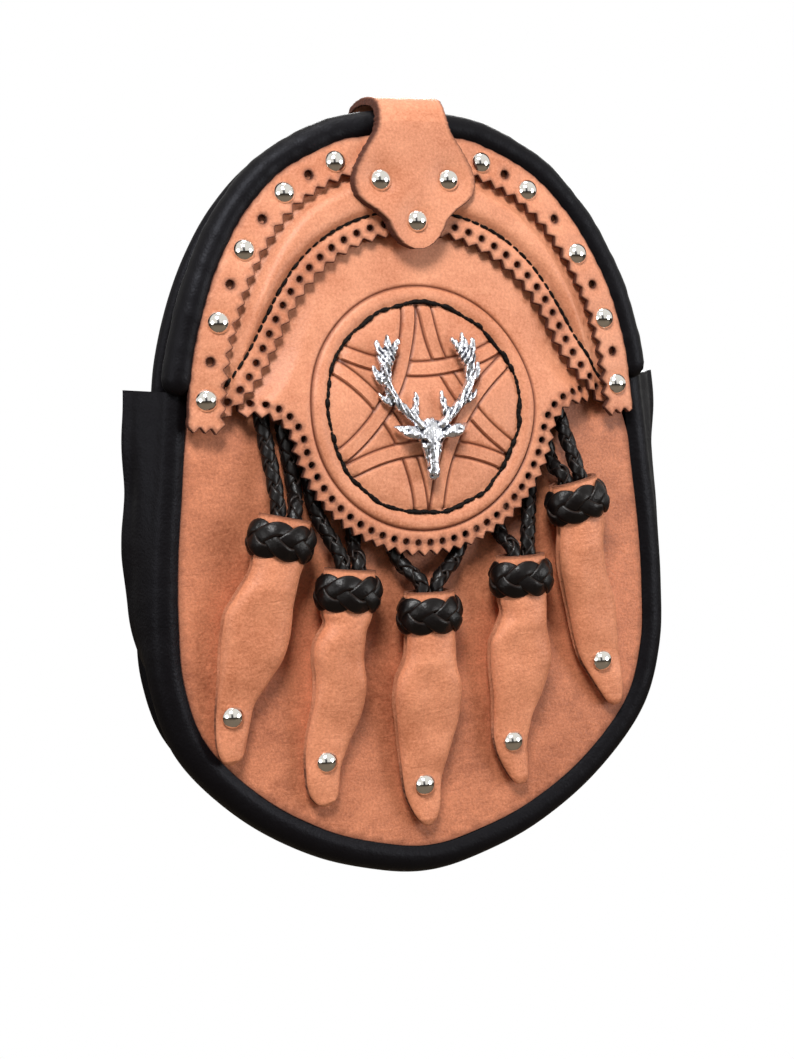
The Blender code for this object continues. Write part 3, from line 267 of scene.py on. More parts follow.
def cleared_wiring(owner):
    """Wiring of a material or world, with nothing in it yet."""
    owner.use_nodes = True
    owner.node_tree.nodes.clear()
    return Wiring(owner.node_tree)


def new_finish(name):
    """A new material, its wiring and the object coordinates."""
    material = bpy.data.materials.new(name)
    wiring = cleared_wiring(material)
    return material, wiring, wiring.node("ShaderNodeTexCoord", output="Object")


def shade(material, wiring, **sockets):
    """Principled shader to the output; keyword names have underscores for spaces."""
    shader = wiring.node("ShaderNodeBsdfPrincipled",
                         {key.replace("_", " "): given for key, given in sockets.items()})
    wiring.node("ShaderNodeOutputMaterial", {"Surface": shader}, output=None)
    return material


def tan_finish(name, light, dark, weathered=0.5, creased=0.5):
    """Vegetable-tanned leather: mottled, grained, dark in carved lines, and dark along cut edges, where the
    raw edge's own colour is deepened with painted shade.
    """
    material, wiring, place = new_finish(name)
    clouds = wiring.noise(place, 38.0, 3.0, 0.55)
    blotches = wiring.noise(place, 170.0, 4.0, 0.65)
    pores = wiring.noise(place, 1300.0, 3.0, 0.7)
    fibres = wiring.noise(place, 2200.0, 3.0, 0.7)
    stretched = wiring.node("ShaderNodeMapping", {"Vector": place, "Scale": (0.55, 1.0, 1.6)})
    creases = wiring.noise(stretched, 260.0, 4.0, 0.62, 1.2)
    folds = (creases - 0.5).maths("ABSOLUTE")
    tone = ((clouds - 0.5) * 1.5 + (blotches - 0.5) * weathered + (pores - 0.5) * 1.6
            + (creases - 0.5) * (0.75 * creased) + 0.5).clamped()
    cut_edge_and_shade, near, carve = map(wiring.mark, ("cut_edge_and_shade", "near_edge", "carve"))
    colour = wiring.mix(tone, dark, light)
    colour = wiring.mix((near * near * 0.20 * (0.4 + blotches)).clamped(), colour, (0.240, 0.062, 0.024))
    colour = wiring.mix((carve * 0.92).clamped(), colour, (0.105, 0.022, 0.009))
    # Raw cut edges: their own dark colour, deepened to hold the painted shade along every edge and tooth.
    colour = wiring.mix(cut_edge_and_shade, colour, wiring.mix(fibres, (0.022, 0.006, 0.003), (0.150, 0.042, 0.021)))
    grain = wiring.cells(place, 1250.0)
    height = grain * 0.34 + pores * 0.60 + blotches * 0.7 + folds * (1.2 * creased) + cut_edge_and_shade * fibres * 3.0
    return shade(material, wiring, Base_Color=colour, Roughness=0.40 + pores * 0.20 + cut_edge_and_shade * 0.25,
                 Normal=wiring.bump(height, 0.62, 0.00030), Specular_IOR_Level=0.42)


def black_finish(name, scale=1.0, wrinkles=1.0, worn=1.0):
    """Black grained leather with a bluish half gloss; worn leather is a little greyer."""
    material, wiring, place = new_finish(name)
    pebbles = wiring.cells(place, 1500.0 * scale)
    folds = wiring.noise(place, 150.0 * scale, 4.0, 0.6)
    dust = wiring.noise(place, 60.0, 3.0, 0.6)
    deep, pale = (tuple(worn * c for c in colour)
                  for colour in ((0.0022, 0.0018, 0.0022), (0.0060, 0.0050, 0.0058)))
    height = pebbles * 0.35 + folds * (1.8 * wrinkles)
    return shade(material, wiring, Base_Color=wiring.mix((dust * 0.8).clamped(), deep, pale),
                 Roughness=0.34 + folds * 0.25, Normal=wiring.bump(height, 0.55, 0.00035),
                 Specular_IOR_Level=0.12, Specular_Tint=(0.85, 0.88, 1.0, 1.0))


def lace_finish():
    """Glossy black-brown lace, dry and brown at its edges."""
    material, wiring, place = new_finish("black_lace")
    creases = wiring.noise(place, 520.0, 3.0, 0.6)
    fine = wiring.noise(place, 2400.0, 2.0, 0.5)
    edge = wiring.mark("lace_edge")
    colour = wiring.mix(creases, (0.0022, 0.0016, 0.0016), (0.0065, 0.0045, 0.0042))
    colour = wiring.mix((edge * edge * 0.55).clamped(), colour, (0.045, 0.026, 0.020))
    return shade(material, wiring, Base_Color=colour, Roughness=0.22 + creases * 0.2,
                 Normal=wiring.bump(creases * 1.6 + fine * 0.4, 0.45, 0.00025), Specular_IOR_Level=0.20)


def thread_finish():
    """Waxed black thread with the twist of its plies."""
    material, wiring, place = new_finish("waxed_thread")
    plies = wiring.noise(place, 3200.0, 1.0, 0.5)
    colour = wiring.mix(plies, (0.002, 0.0015, 0.0015), (0.010, 0.007, 0.006))
    return shade(material, wiring, Base_Color=colour, Roughness=0.45 + plies * 0.15,
                 Normal=wiring.bump(plies, 0.6, 0.00015), Specular_IOR_Level=0.08)


def nickel_finish():
    """Polished nickel with faint handling marks."""
    material, wiring, place = new_finish("nickel")
    marks = wiring.noise(place, 700.0, 3.0, 0.65)
    colour = wiring.mix(marks, (0.78, 0.75, 0.70), (0.90, 0.88, 0.84))
    return shade(material, wiring, Base_Color=colour, Metallic=1.0, Roughness=0.07 + marks * 0.07,
                 Normal=wiring.bump(marks, 0.06, 0.0002))


def silver_finish():
    """Cast silver, bright on its high places and black in its recesses."""
    material, wiring, place = new_finish("antique_silver")
    cast = wiring.noise(place, 620.0, 4.0, 0.65)
    tarnish = (wiring.mark("hollow") * 2.0 + (cast - 0.5) * 2.6 - 0.10).clamped()
    colour = wiring.mix(tarnish, (0.84, 0.85, 0.90), (0.030, 0.032, 0.045))
    return shade(material, wiring, Base_Color=colour, Metallic=0.95, Roughness=0.16 + tarnish * 0.35,
                 Normal=wiring.bump(cast, 0.45, 0.0004))


TAN = tan_finish("tan_leather", (0.800, 0.345, 0.195), (0.500, 0.166, 0.077))
PANEL_TAN = tan_finish("panel_leather", (0.690, 0.250, 0.124), (0.330, 0.100, 0.045), 0.9, 0.9)
TASSEL_TAN = tan_finish("tassel_leather", (0.860, 0.340, 0.180), (0.500, 0.165, 0.076), 0.7, 1.1)
BLACK = black_finish("black_leather")
PIPING = black_finish("piping_leather", 1.0, 0.45)
BLACK_BACK = black_finish("back_leather", 0.8, 0.6, 2.2)
LACE = lace_finish()
THREAD = thread_finish()
NICKEL = nickel_finish()
SILVER = silver_finish()


def smoothstep(t):
    t = np.clip(t, 0.0, 1.0)
    return t * t * (3.0 - 2.0 * t)


def circle(sides):
    """Turns of evenly spaced points round a circle."""
    return 2.0 * pi * np.arange(sides) / sides


def unit(vectors):
    return vectors / np.linalg.norm(vectors, axis=1, keepdims=True)


def flattened(wave, power):
    """A sine or cosine drawn out towards a square wave."""
    return np.sign(wave) * np.abs(wave) ** power


def at_depth(flat, y):
    """Points on a face from their flat places and depths."""
    return np.stack([flat[:, 0], np.broadcast_to(y, len(flat)), flat[:, 1]], -1)


def table_value(table, key, column=1):
    table = np.array(table)
    return np.interp(key, table[:, 0], table[:, column])


def smooth_points(points, closed=False, steps=8):
    """Catmull-Rom curve through the points, in two or three dimensions."""
    points = np.array(points, float)
    count = len(points)
    spans = np.arange(count if closed else count - 1)
    corners = [(spans + k) % count if closed else np.clip(spans + k, 0, count - 1) for k in (-1, 0, 1, 2)]
    p0, p1, p2, p3 = (points[c][:, None] for c in corners)
    t = (np.arange(steps) / steps)[None, :, None]
    curve = 0.5 * (2 * p1 + (p2 - p0) * t + (2 * p0 - 5 * p1 + 4 * p2 - p3) * t ** 2
                   + (3 * p1 - p0 - 3 * p2 + p3) * t ** 3)
    curve = curve.reshape(-1, points.shape[1])
    return curve if closed else np.vstack([curve, points[-1]])


def lengths_along(path):
    return np.concatenate([[0.0], np.cumsum(np.linalg.norm(np.diff(path, axis=0), axis=1))])


def resample(path, count):
    """Evenly spaced points from the path's first to its last."""
    path = np.asarray(path, float)
    run = lengths_along(path)
    wanted = np.linspace(0.0, run[-1], count)
    return np.stack([np.interp(wanted, run, path[:, k]) for k in range(path.shape[1])], -1)


def even_loop(loop, count):
    return resample(np.vstack([loop, loop[:1]]), count + 1)[:-1]


def left_normals(path, closed=False):
    path = np.asarray(path)
    if closed:
        along = np.roll(path, -1, 0) - np.roll(path, 1, 0)
    else:
        along = np.vstack([path[1] - path[0], path[2:] - path[:-2], path[-1] - path[-2]])
    along /= np.maximum(np.linalg.norm(along, axis=1, keepdims=True), 1e-12)
    return np.stack([-along[:, 1], along[:, 0]], -1)


def beside(path, distance, closed=False):
    """Path moved to its left, by one distance or one for each point."""
    return np.asarray(path) + left_normals(path, closed) * np.reshape(distance, (-1, 1))


def pinked(path, pitch, depth, uneven=0.16):
    """Zigzag edge along a path, tooth tips to its right, cut a little unevenly."""
    path = np.asarray(path)
    teeth = max(1, round(lengths_along(path)[-1] / pitch))
    points = resample(path, 2 * teeth + 1)
    swing = np.where(np.arange(len(points)) % 2 == 0, 0.5, -0.5) * depth
    swing *= 1.0 + uneven * RANDOM.uniform(-1.0, 1.0, len(points))
    zigzag = points + left_normals(points) * swing[:, None]
    rounded = [zigzag[0]]
    for before, tip, after in zip(zigzag, zigzag[1:], zigzag[2:]):
        rounded += [tip + 0.07 * (before - tip), tip + 0.07 * (after - tip)]
    return np.array(rounded + [zigzag[-1]])


def hole(centre, radius, sides=12):
    squash = 1.0 + RANDOM.uniform(-0.05, 0.05, 2)
    turn = -circle(sides)
    return np.asarray(centre) + radius * np.stack([squash[0] * np.cos(turn), squash[1] * np.sin(turn)], -1)


def path_distance(x, z, path, closed=False):
    """Distance from each point to a broken line."""
    a = np.asarray(path) if closed else np.asarray(path)[:-1]
    b = np.roll(path, -1, 0) if closed else np.asarray(path)[1:]
    along = b - a
    square = np.maximum((along ** 2).sum(1), 1e-16)
    points = np.stack([np.ravel(x), np.ravel(z)], -1)
    best = np.empty(len(points))
    for start in range(0, len(points), 3000):
        away = points[start:start + 3000, None] - a[None]
        share = np.clip((away * along).sum(-1) / square, 0.0, 1.0)
        best[start:start + 3000] = np.linalg.norm(away - share[..., None] * along, axis=-1).min(1)
    return best.reshape(np.shape(x))


def rim_loop():
    right = [(u * HALF_WIDTH, v * HALF_HEIGHT) for u, v in reversed(RIM_TABLE)]
    left = [(-x, z) for x, z in reversed(right[1:-1])]
    return even_loop(smooth_points(right + left, closed=True), 360)


RIM = rim_loop()
ARCH_CURVE = smooth_points(ARCH_TABLE, steps=6)
STITCH_CURVE = smooth_points(ARCH_STITCH_RADII)


def upper_rim(low_z, count):
    """Part of the piped edge above a height, right to left over the top."""
    return resample(RIM[RIM[:, 1] >= low_z], count)


def lower_rim(high_z, count):
    """Part of the piped edge below a height, left to right round the bottom."""
    turned = np.roll(RIM, -len(RIM) // 2, 0)
    return resample(turned[turned[:, 1] <= high_z], count)


def rim_distance(x, z):
    return path_distance(x, z, RIM, closed=True)


def strip_middle_y(z):
    return STRIP_SET_BACK * smoothstep((z - STRIP_BEND_Z) / STRIP_BEND_REACH) - GAP


def strip_front(x, z):
    return strip_middle_y(z) - STRIP_LIFT * np.minimum(1.0, rim_distance(x, z) / STRIP_WIDTH)


def border_front(z):
    end_lift = BORDER_END_LIFT * smoothstep((BORDER_END_Z - z) / BORDER_END_REACH)
    return strip_middle_y(z) - BORDER_STAND - end_lift


def arch_edge_radius(bearing):
    return ARCH_RADIUS * np.interp(bearing, ARCH_CURVE[:, 0], ARCH_CURVE[:, 1])


def arch_edge_distance(x, z):
    bearing = np.degrees(np.arctan2(z - MEDALLION_Z, np.abs(x)))
    return np.hypot(x, z - MEDALLION_Z) - arch_edge_radius(bearing)


def arch_front(x, z):
    inset = rim_distance(x, z)
    under_strip = strip_front(x, z) + STRIP_THICK + LAYER_SLACK
    past_strip = smoothstep((inset - STRIP_WIDTH - TOOTH_DEPTH) / PUFF_RISE)
    puff = PUFF_HEIGHT * smoothstep((arch_edge_distance(x, z) - BORDER_WIDTH) / PUFF_EDGE) * past_strip
    return under_strip + (border_front(z) - under_strip) * past_strip - puff


def flap_front(x, z):
    outside = arch_edge_distance(x, z)
    border = border_front(z)
    border = np.where(outside > 0.0, np.maximum(border, arch_front(x, z)) + 0.5 * LAYER_SLACK, border)
    lean = FLAP_LEAN * smoothstep((MEDALLION_Z + ARCH_RADIUS - z) / FLAP_LEAN_REACH)
    return border + ARCH_THICK + FLAP_SLACK - lean * smoothstep(-outside / FLAP_LEAN_EDGE)


def back_roll_y(z):
    return BACK_ROLL_Y + BACK_BELLY * smoothstep((SHOULDER_Z - z) / BACK_BELLY_REACH)


def panel_front(x, z):
    low = PANEL_FRONT_Y + PANEL_SLOPE * z
    layers = STRIP_THICK + ARCH_THICK + FLAP_THICK + FLAP_SLACK + 2.0 * LAYER_SLACK - STRIP_LIFT
    return low + (strip_middle_y(z) + layers - low) * smoothstep((z - PANEL_STEP_Z) / PANEL_STEP_REACH)


def depth_at(surface, x, z):
    """Depth of a surface at one place."""
    return float(surface(np.array([x]), np.array([z]))[0])


def placed(name, data):
    """New object in the scene."""
    made = bpy.data.objects.new(name, data)
    bpy.context.collection.objects.link(made)
    return made


def add_attribute(mesh, name, numbers):
    mesh.attributes.new(name, "FLOAT", "POINT").data.foreach_set("value", np.asarray(numbers, np.float32))


def new_piece(name, vertices, faces, finish, slot, attributes=None, sharp=50.0):
    """Piece from pouch coordinates, shaded smooth but for its sharp edges."""
    mesh = bpy.data.meshes.new(name)
    mesh.from_pydata((np.asarray(vertices) + HANG).tolist(), [], faces)
    for key, numbers in (attributes or {}).items():
        add_attribute(mesh, key, numbers)
    mesh.materials.append(finish)
    mesh.shade_smooth()
    mesh.set_sharp_from_angle(angle=radians(sharp))
    piece = placed(name, mesh)
    return piece


def settle(piece, *nodes):
    """The piece rides on the pouch and stands for these CAD nodes."""
    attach(piece, "root")
    if nodes:
        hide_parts(*nodes)


def ring_faces(rows, columns, closed=False):
    """Quads between rings of vertices counted ring by ring; closed joins the last ring to the first."""
    faces = []
    for r in range(rows if closed else rows - 1):
        low, high = r * columns, (r + 1) % rows * columns
        for c in range(columns):
            d = (c + 1) % columns
            faces.append((low + c, low + d, high + d, high + c))
    return faces


def tube_faces(rows, columns, closed=False):
    """Quads between the rings, and a cap at both ends unless they are closed."""
    faces = ring_faces(rows, columns, closed)
    if not closed:
        faces += [tuple(reversed(range(columns))), tuple((rows - 1) * columns + i for i in range(columns))]
    return faces


def wall_end(row, columns):
    """Quads across the end of a wall, whose rings run along its outside and back along its inside."""
    low, high = row * columns, (row + 1) * columns
    return [(low + i, low + i + 1, high - 2 - i, high - 1 - i) for i in range(columns // 2 - 1)]


def carved_depth(x, z, lines):
    """Depth cut into a face and how dark the cut is, for lines of (path, depth, half width)."""
    depth, dark = np.zeros(len(x)), np.zeros(len(x))
    for path, deep, half in lines:
        share = np.clip(1.0 - path_distance(x, z, path) / half, 0.0, 1.0)
        depth = np.maximum(depth, deep * share)
        dark = np.maximum(dark, np.clip(share * 1.6, 0.0, 1.0))
    return depth, dark


def edge_distance(flat, loops):
    """Distance from each point to the nearest of some closed outlines."""
    return np.min([path_distance(flat[:, 0], flat[:, 1], loop, closed=True) for loop in loops], 0)


def leather_sheet(name, outline, holes, face, thickness, finish, slot="tan_leather", pitch=0.0016,
                  lines=(), rounding=0.0003):
    """Cut leather laid on a curved face: pinked or plain outline, punched holes, carved lines.

    Its edges are softly rounded, and attributes mark the cut edge with a thin dark outline beside it on the
    face (raw edge colour and painted shade), what lies near it and the carving.
    """
    loops = [np.asarray(loop) for loop in (outline, *holes)]
    inset = np.concatenate([beside(loop, rounding, closed=True) for loop in loops])
    frayed = np.concatenate([beside(loop, -FRAYING * RANDOM.random(len(loop)), closed=True)
                             for loop in loops])
    starts = np.cumsum([0] + [len(loop) for loop in loops])
    rounds = [list(range(int(s), int(s) + len(loop))) for s, loop in zip(starts, loops)]
    edges = [(a, b) for ring in rounds for a, b in zip(ring, ring[1:] + ring[:1])]
    low, high = np.concatenate(loops).min(0), np.concatenate(loops).max(0)
    rows = []
    for k, z in enumerate(np.arange(low[1], high[1], pitch * 0.866)):
        x = np.arange(low[0] + (k % 2) * pitch / 2, high[0], pitch)
        rows.append(np.stack([x, np.full(len(x), z)], -1))
    inner = np.concatenate(rows)
    inner = inner[edge_distance(inner, loops) > 0.55 * pitch]
    for path, _, half in lines:
        inner = inner[path_distance(inner[:, 0], inner[:, 1], path) > 1.3 * half]
    traced = [beside(path, shift * half) for path, _, half in lines for shift in (-1.0, 0.0, 1.0)]
    coordinates = np.concatenate([inset, inner, *traced])
    flat, _, triangles, origins, _, _ = delaunay_2d_cdt([Vector(p) for p in coordinates], [], rounds, 2, 1e-7)
    flat = np.array([tuple(p) for p in flat])
    found = {k: i for i, sources in enumerate(origins) for k in sources}
    count, total = len(flat), len(frayed)
    depth, dark = carved_depth(flat[:, 0], flat[:, 1], lines)
    base = face(flat[:, 0], flat[:, 1])
    edge_y = np.concatenate([face(loop[:, 0], loop[:, 1]) for loop in loops])
    vertices = [at_depth(flat, base + depth), at_depth(flat, base + thickness)]
    for share, drop in ((0.30, 0.30 * rounding), (0.0, rounding), (0.0, thickness - rounding)):
        vertices.append(at_depth(frayed + share * (inset - frayed), edge_y + drop))
    inside = edge_distance(flat, loops) - rounding
    near, raw_and_shade = (np.exp(-(inside / fade).clip(0.0)) for fade in (NEAR_EDGE_FADE, RAW_EDGE_AND_SHADE_FADE))
    # The cut mark darkens the edge walls and a thin outline on the face beside them: raw edge colour with
    # painted shade.
    marks = {"cut_edge_and_shade": [0.42 * raw_and_shade, np.full(count, 0.4), np.full(total, 0.95), np.ones(2 * total)],
             "near_edge": [near, near, np.ones(3 * total)], "carve": [dark, np.zeros(count + 3 * total)]}
    faces = [tuple(t) for t in triangles] + [tuple(i + count for i in reversed(t)) for t in triangles]
    for a, b in edges:
        if a not in found or b not in found:
            continue
        steps = [(found[a], found[b])]
        steps += [(2 * count + k * total + a, 2 * count + k * total + b) for k in range(3)]
        steps.append((found[a] + count, found[b] + count))
        faces += [(q, p, r, s) for (p, q), (r, s) in zip(steps, steps[1:])]
    return new_piece(name, np.concatenate(vertices), faces, finish, slot,
                     {key: np.concatenate(numbers) for key, numbers in marks.items()})


def joined(parts):
    """One list of vertices and faces from several."""
    vertices, faces, start = [], [], 0
    for points, sides in parts:
        vertices.append(points)
        faces += [tuple(start + i for i in face) for face in sides]
        start += len(points)
    return np.concatenate(vertices), faces


def strap_of(path, out, half_width, thickness, sides):
    """Rings of an oval section along a path; out is the thin direction at each point."""
    along = unit(np.gradient(path, axis=0))
    wide = unit(np.cross(along, out))
    thin = np.cross(wide, along)
    turn = circle(sides)
    across = flattened(np.cos(turn), 0.8) * half_width
    deep = flattened(np.sin(turn), 0.7) * thickness / 2.0
    rings = path[:, None] + across[None, :, None] * wide[:, None] + deep[None, :, None] * thin[:, None]
    return rings, np.abs(np.cos(turn))


def join_straps(straps, closed=False):
    """Vertices, faces and edge marks of several straps in one mesh."""
    vertices, faces = joined([(rings.reshape(-1, 3), tube_faces(*rings.shape[:2], closed))
                              for rings, _ in straps])
    return vertices, faces, np.concatenate([np.tile(edge, len(rings)) for rings, edge in straps])


def limb(path, radii, sides=12, out=FORWARD, closed=False, rounded=True):
    """Round tube of varying radius along a path, as vertices and faces, its ends rounded off."""
    path, radii = np.asarray(path, float), np.broadcast_to(radii, len(path)).astype(float)
    if rounded and not closed:
        first, last = path[0] - path[1], path[-1] - path[-2]
        first, last = first / np.linalg.norm(first), last / np.linalg.norm(last)
        turns = np.radians([80.0, 55.0, 28.0])
        path = np.vstack([path[0] + np.outer(np.sin(turns), first) * radii[0], path,
                          path[-1] + np.outer(np.sin(turns[::-1]), last) * radii[-1]])
        radii = np.concatenate([np.cos(turns) * radii[0], radii, np.cos(turns[::-1]) * radii[-1]])
    along = unit(np.roll(path, -1, 0) - np.roll(path, 1, 0) if closed else np.gradient(path, axis=0))
    side = unit(np.cross(along, out))
    up = np.cross(side, along)
    turn = circle(sides)
    rings = path[:, None] + radii[:, None, None] * (np.cos(turn)[None, :, None] * side[:, None]
                                                    + np.sin(turn)[None, :, None] * up[:, None])
    return rings.reshape(-1, 3), tube_faces(len(path), sides, closed)


def face_outwards(mesh):
    work = bmesh.new()
    work.from_mesh(mesh)
    bmesh.ops.recalc_face_normals(work, faces=work.faces)
    work.to_mesh(mesh)
    work.free()


def ring_piece(name, rings, faces, finish, slot, node, attributes=None):
    """Piece from rings of points, its faces turned outwards, that stands for a CAD node."""
    piece = new_piece(name, rings.reshape(-1, 3), faces, finish, slot, attributes)
    face_outwards(piece.data)
    settle(piece, node)


def leather_marks(cut_edge_and_shade, near):
    """Attributes of leather that has no carving."""
    return {"cut_edge_and_shade": cut_edge_and_shade.ravel(), "near_edge": near.ravel(), "carve": np.zeros(cut_edge_and_shade.size)}


def repeat_tree(name, on_path):
    """Geometry nodes that set a template on each point given, or at every pitch along a path."""
    tree = bpy.data.node_groups.new(name, "GeometryNodeTree")
    labels = (("Places", "Geometry"), ("Template", "Object"), ("Finish", "Material"), ("Pitch", "Float"),
              ("Unevenness", "Float"), ("Seed", "Int"))
    for label, kind in labels:
        tree.interface.new_socket(label, in_out="INPUT", socket_type=f"NodeSocket{kind}")
    tree.interface.new_socket("Pieces", in_out="OUTPUT", socket_type="NodeSocketGeometry")
    wiring = Wiring(tree)
    (places, template, finish, pitch, unevenness,
     seed) = (wiring.node("NodeGroupInput", output=k) for k in range(len(labels)))
    out = wiring.node("GeometryNodeInputNamedAttribute", {"Name": "out"}, data_type="FLOAT_VECTOR")
    turn = wiring.node("FunctionNodeAlignRotationToVector", {"Vector": out}, axis="Z")
    if on_path:
        line = wiring.node("GeometryNodeMeshToCurve", {0: places})
        places = wiring.node("GeometryNodeResampleCurve", {"Curve": line, "Length": pitch}, mode="LENGTH")
        tangent = wiring.node("GeometryNodeInputTangent")
        turn = wiring.node("FunctionNodeAlignRotationToVector", {"Rotation": turn, "Vector": tangent},
                           axis="X", pivot_axis="Z")
    size = wiring.node("FunctionNodeRandomValue", {2: 1.0 - unevenness, 3: 1.0 + unevenness, "Seed": seed},
                       output=1, data_type="FLOAT")
    shape = wiring.node("GeometryNodeObjectInfo", {"Object": template}, output="Geometry",
                        transform_space="ORIGINAL")
    copies = wiring.node("GeometryNodeInstanceOnPoints", {"Points": places, "Instance": shape,
                                                          "Rotation": turn, "Scale": size})
    real = wiring.node("GeometryNodeRealizeInstances", {"Geometry": copies})
    done = wiring.node("GeometryNodeSetMaterial", {"Geometry": real, "Material": finish})
    wiring.node("NodeGroupOutput", [done], output=None)
    return tree


def made_plain(thing, finish):
    """The object's mesh with its modifiers applied, which are then removed, in a smooth finish."""
    shown = thing.evaluated_get(bpy.context.evaluated_depsgraph_get())
    mesh = bpy.data.meshes.new_from_object(shown)
    thing.modifiers.clear()
    thing.data = mesh
    mesh.materials.clear()
    mesh.materials.append(finish)
    mesh.shade_smooth()
    return mesh


def repeat(name, tree, places, out, template, finish, pitch=0.001, unevenness=0.0, edges=()):
    """Piece made by a repeat tree from places (pouch coordinates) and the directions that they face."""
    mesh = bpy.data.meshes.new(name)
    mesh.from_pydata((np.asarray(places) + HANG).tolist(), edges, [])
    out = np.ravel(np.broadcast_to(out, (len(places), 3))).astype(np.float32)
    mesh.attributes.new("out", "FLOAT_VECTOR", "POINT").data.foreach_set("vector", out)
    piece = placed(name, mesh)
    repeater = piece.modifiers.new("repeat", "NODES")
    repeater.node_group = tree
    given = {"Template": template, "Finish": finish, "Pitch": pitch, "Unevenness": unevenness, "Seed": 3}
    for socket in tree.interface.items_tree:
        if socket.name in given:
            repeater[socket.identifier] = given[socket.name]
    made_plain(piece, finish)
    return piece


def sew(name, places, out, length, radius, pitch, unevenness, closed=False):
    """Row of stitches along places; out is the way they face, length and radius are one stitch's."""
    shape = stitch_template(length, radius)
    count = len(places)
    edges = [(i, i + 1) for i in range(count - 1)] + ([(count - 1, 0)] if closed else [])
    settle(repeat(name, STITCH_TREE, places, out, shape, THREAD, pitch, unevenness, edges))
    bpy.data.objects.remove(shape)


def set_studs(name, places, out, cap, nodes, unevenness=0.0):
    settle(repeat(name, STUD_TREE, places, out, cap, NICKEL, unevenness=unevenness), *nodes)


def template_of(name, vertices, faces):
    """Object that is in no collection and that only a repeat tree reads."""
    mesh = bpy.data.meshes.new(name)
    mesh.from_pydata(np.asarray(vertices).tolist(), [], faces)
    face_outwards(mesh)
    return bpy.data.objects.new(name, mesh)


def stud_template(sides=36):
    """Domed cap over a thin turned-under rim, its crown towards +Z."""
    dome = (STUD_RADIUS ** 2 + STUD_HEIGHT ** 2) / (2.0 * STUD_HEIGHT)
    rows = [(0.90 * STUD_RADIUS, -0.0002), (STUD_RADIUS, 0.0), (1.005 * STUD_RADIUS, 0.00015)]
    for share in np.linspace(0.97, 0.0, 12):
        radius = share * STUD_RADIUS
        rows.append((radius + 1e-6, 0.0002 + np.sqrt(dome ** 2 - radius ** 2) - dome + STUD_HEIGHT))
    rings = np.array([[(r * cos(a), r * sin(a), h) for a in circle(sides)] for r, h in rows])
    return template_of("stud_shape", rings.reshape(-1, 3), tube_faces(len(rows), sides))


def stitch_template(length, radius):
    """Rounded length of thread, thicker in its middle."""
    run = np.linspace(-0.5, 0.5, 7) * (length - 1.6 * radius)
    away = (2.0 * run / length) ** 2
    path = np.stack([run, 0.0 * run, 0.35 * radius * (1.0 - away)], -1)
    return template_of("stitch_shape", *limb(path, radius * (1.0 - 0.35 * away), 8, out=(0.0, 0.0, 1.0)))


STITCH_TREE = repeat_tree("stitches_along_path", True)
STUD_TREE = repeat_tree("studs_on_places", False)


def set_camera():
    """Camera found from the photograph: right, up and ahead, then its place."""
    right, up = (0.91446584, -0.40336207, -0.03242328), (0.06562296, 0.06875575, 0.99547289)
    ahead = (0.39930672, 0.91245366, -0.0893446)
    place = np.array([-0.2463606, -0.5426592, 0.0425648]) + HANG
    camera = placed("camera", bpy.data.cameras.new("camera"))
    rows = [(r, u, -a, p) for r, u, a, p in zip(right, up, ahead, place)]
    camera.matrix_world = Matrix(rows + [(0, 0, 0, 1)])
    focal_pixels, frame_pixels, sensor_width = 2001.93, 794.0, 36.0
    camera.data.sensor_fit, camera.data.sensor_width = "HORIZONTAL", sensor_width
    camera.data.lens = focal_pixels / frame_pixels * sensor_width
    camera.data.clip_start = 0.01
    bpy.context.scene.camera = camera


def from_medallion(shares):
    return np.array([shares[0] * MEDALLION_EDGE_RADIUS, MEDALLION_Z + shares[1] * MEDALLION_EDGE_RADIUS])


def tassel_axes(place, lean):
    """Middle of a tassel's head, and its directions up and across."""
    x, z = from_medallion(place)
    c, s = cos(radians(lean)), sin(radians(lean))
    return np.array([x, TASSEL_Y, z]), np.array([-s, 0.0, c]), np.array([c, 0.0, s])


def cord_route(place, lean, side, route):
    """Middle line of a tassel cord, from under the flap into the tassel's head."""
    head, up, across = tassel_axes(place, lean)
    behind_flap = []
    for x, z in map(from_medallion, route):
        behind_flap.append((x, float(panel_front(x, z)) - CORD_CLEARANCE - CORD_DIAMETER / 2.0, z))
    entry = head + across * side * (CORD_DIAMETER / 2.0 + 0.5 * CORD_PITCH_EXTRA)
    above = entry + up * (KNOT_HALF_HEIGHT + CORD_BEND_ABOVE_HEAD) - across * side * 0.25 * CORD_PITCH_EXTRA
    return resample(smooth_points(behind_flap + [above, entry, entry - up * CORD_DEPTH_IN_HEAD]), 48)


def braid(path, start_turn):
    """Four laces braided round: two turn one way and two the other, over and under by turns."""
    fine = resample(path, int(lengths_along(path)[-1] / 0.0004))
    along = unit(np.gradient(fine, axis=0))
    side = unit(np.cross(along, FORWARD))
    up = np.cross(side, along)
    s = lengths_along(fine)
    straps = []
    wave = np.cos(4.0 * pi * s / BRAID_PITCH)
    for hand in (1.0, -1.0):
        for k in range(2):
            turn = hand * 2.0 * pi * s / BRAID_PITCH + k * pi + start_turn
            reach = CORD_DIAMETER * (0.335 + 0.085 * hand * wave)
            out = np.cos(turn)[:, None] * side + np.sin(turn)[:, None] * up
            lace = fine + reach[:, None] * out
            straps.append(strap_of(lace, out, BRAID_LACE_HALF_WIDTH, BRAID_LACE_THICK, 12))
    vertices, faces, marks = join_straps(straps)
    core, core_faces = limb(fine[::6], BRAID_CORE_SHARE * CORD_DIAMETER, 8, rounded=False)
    vertices, faces = joined([(vertices, faces), (core, core_faces)])
    return vertices, faces, np.concatenate([marks, np.zeros(len(core))])


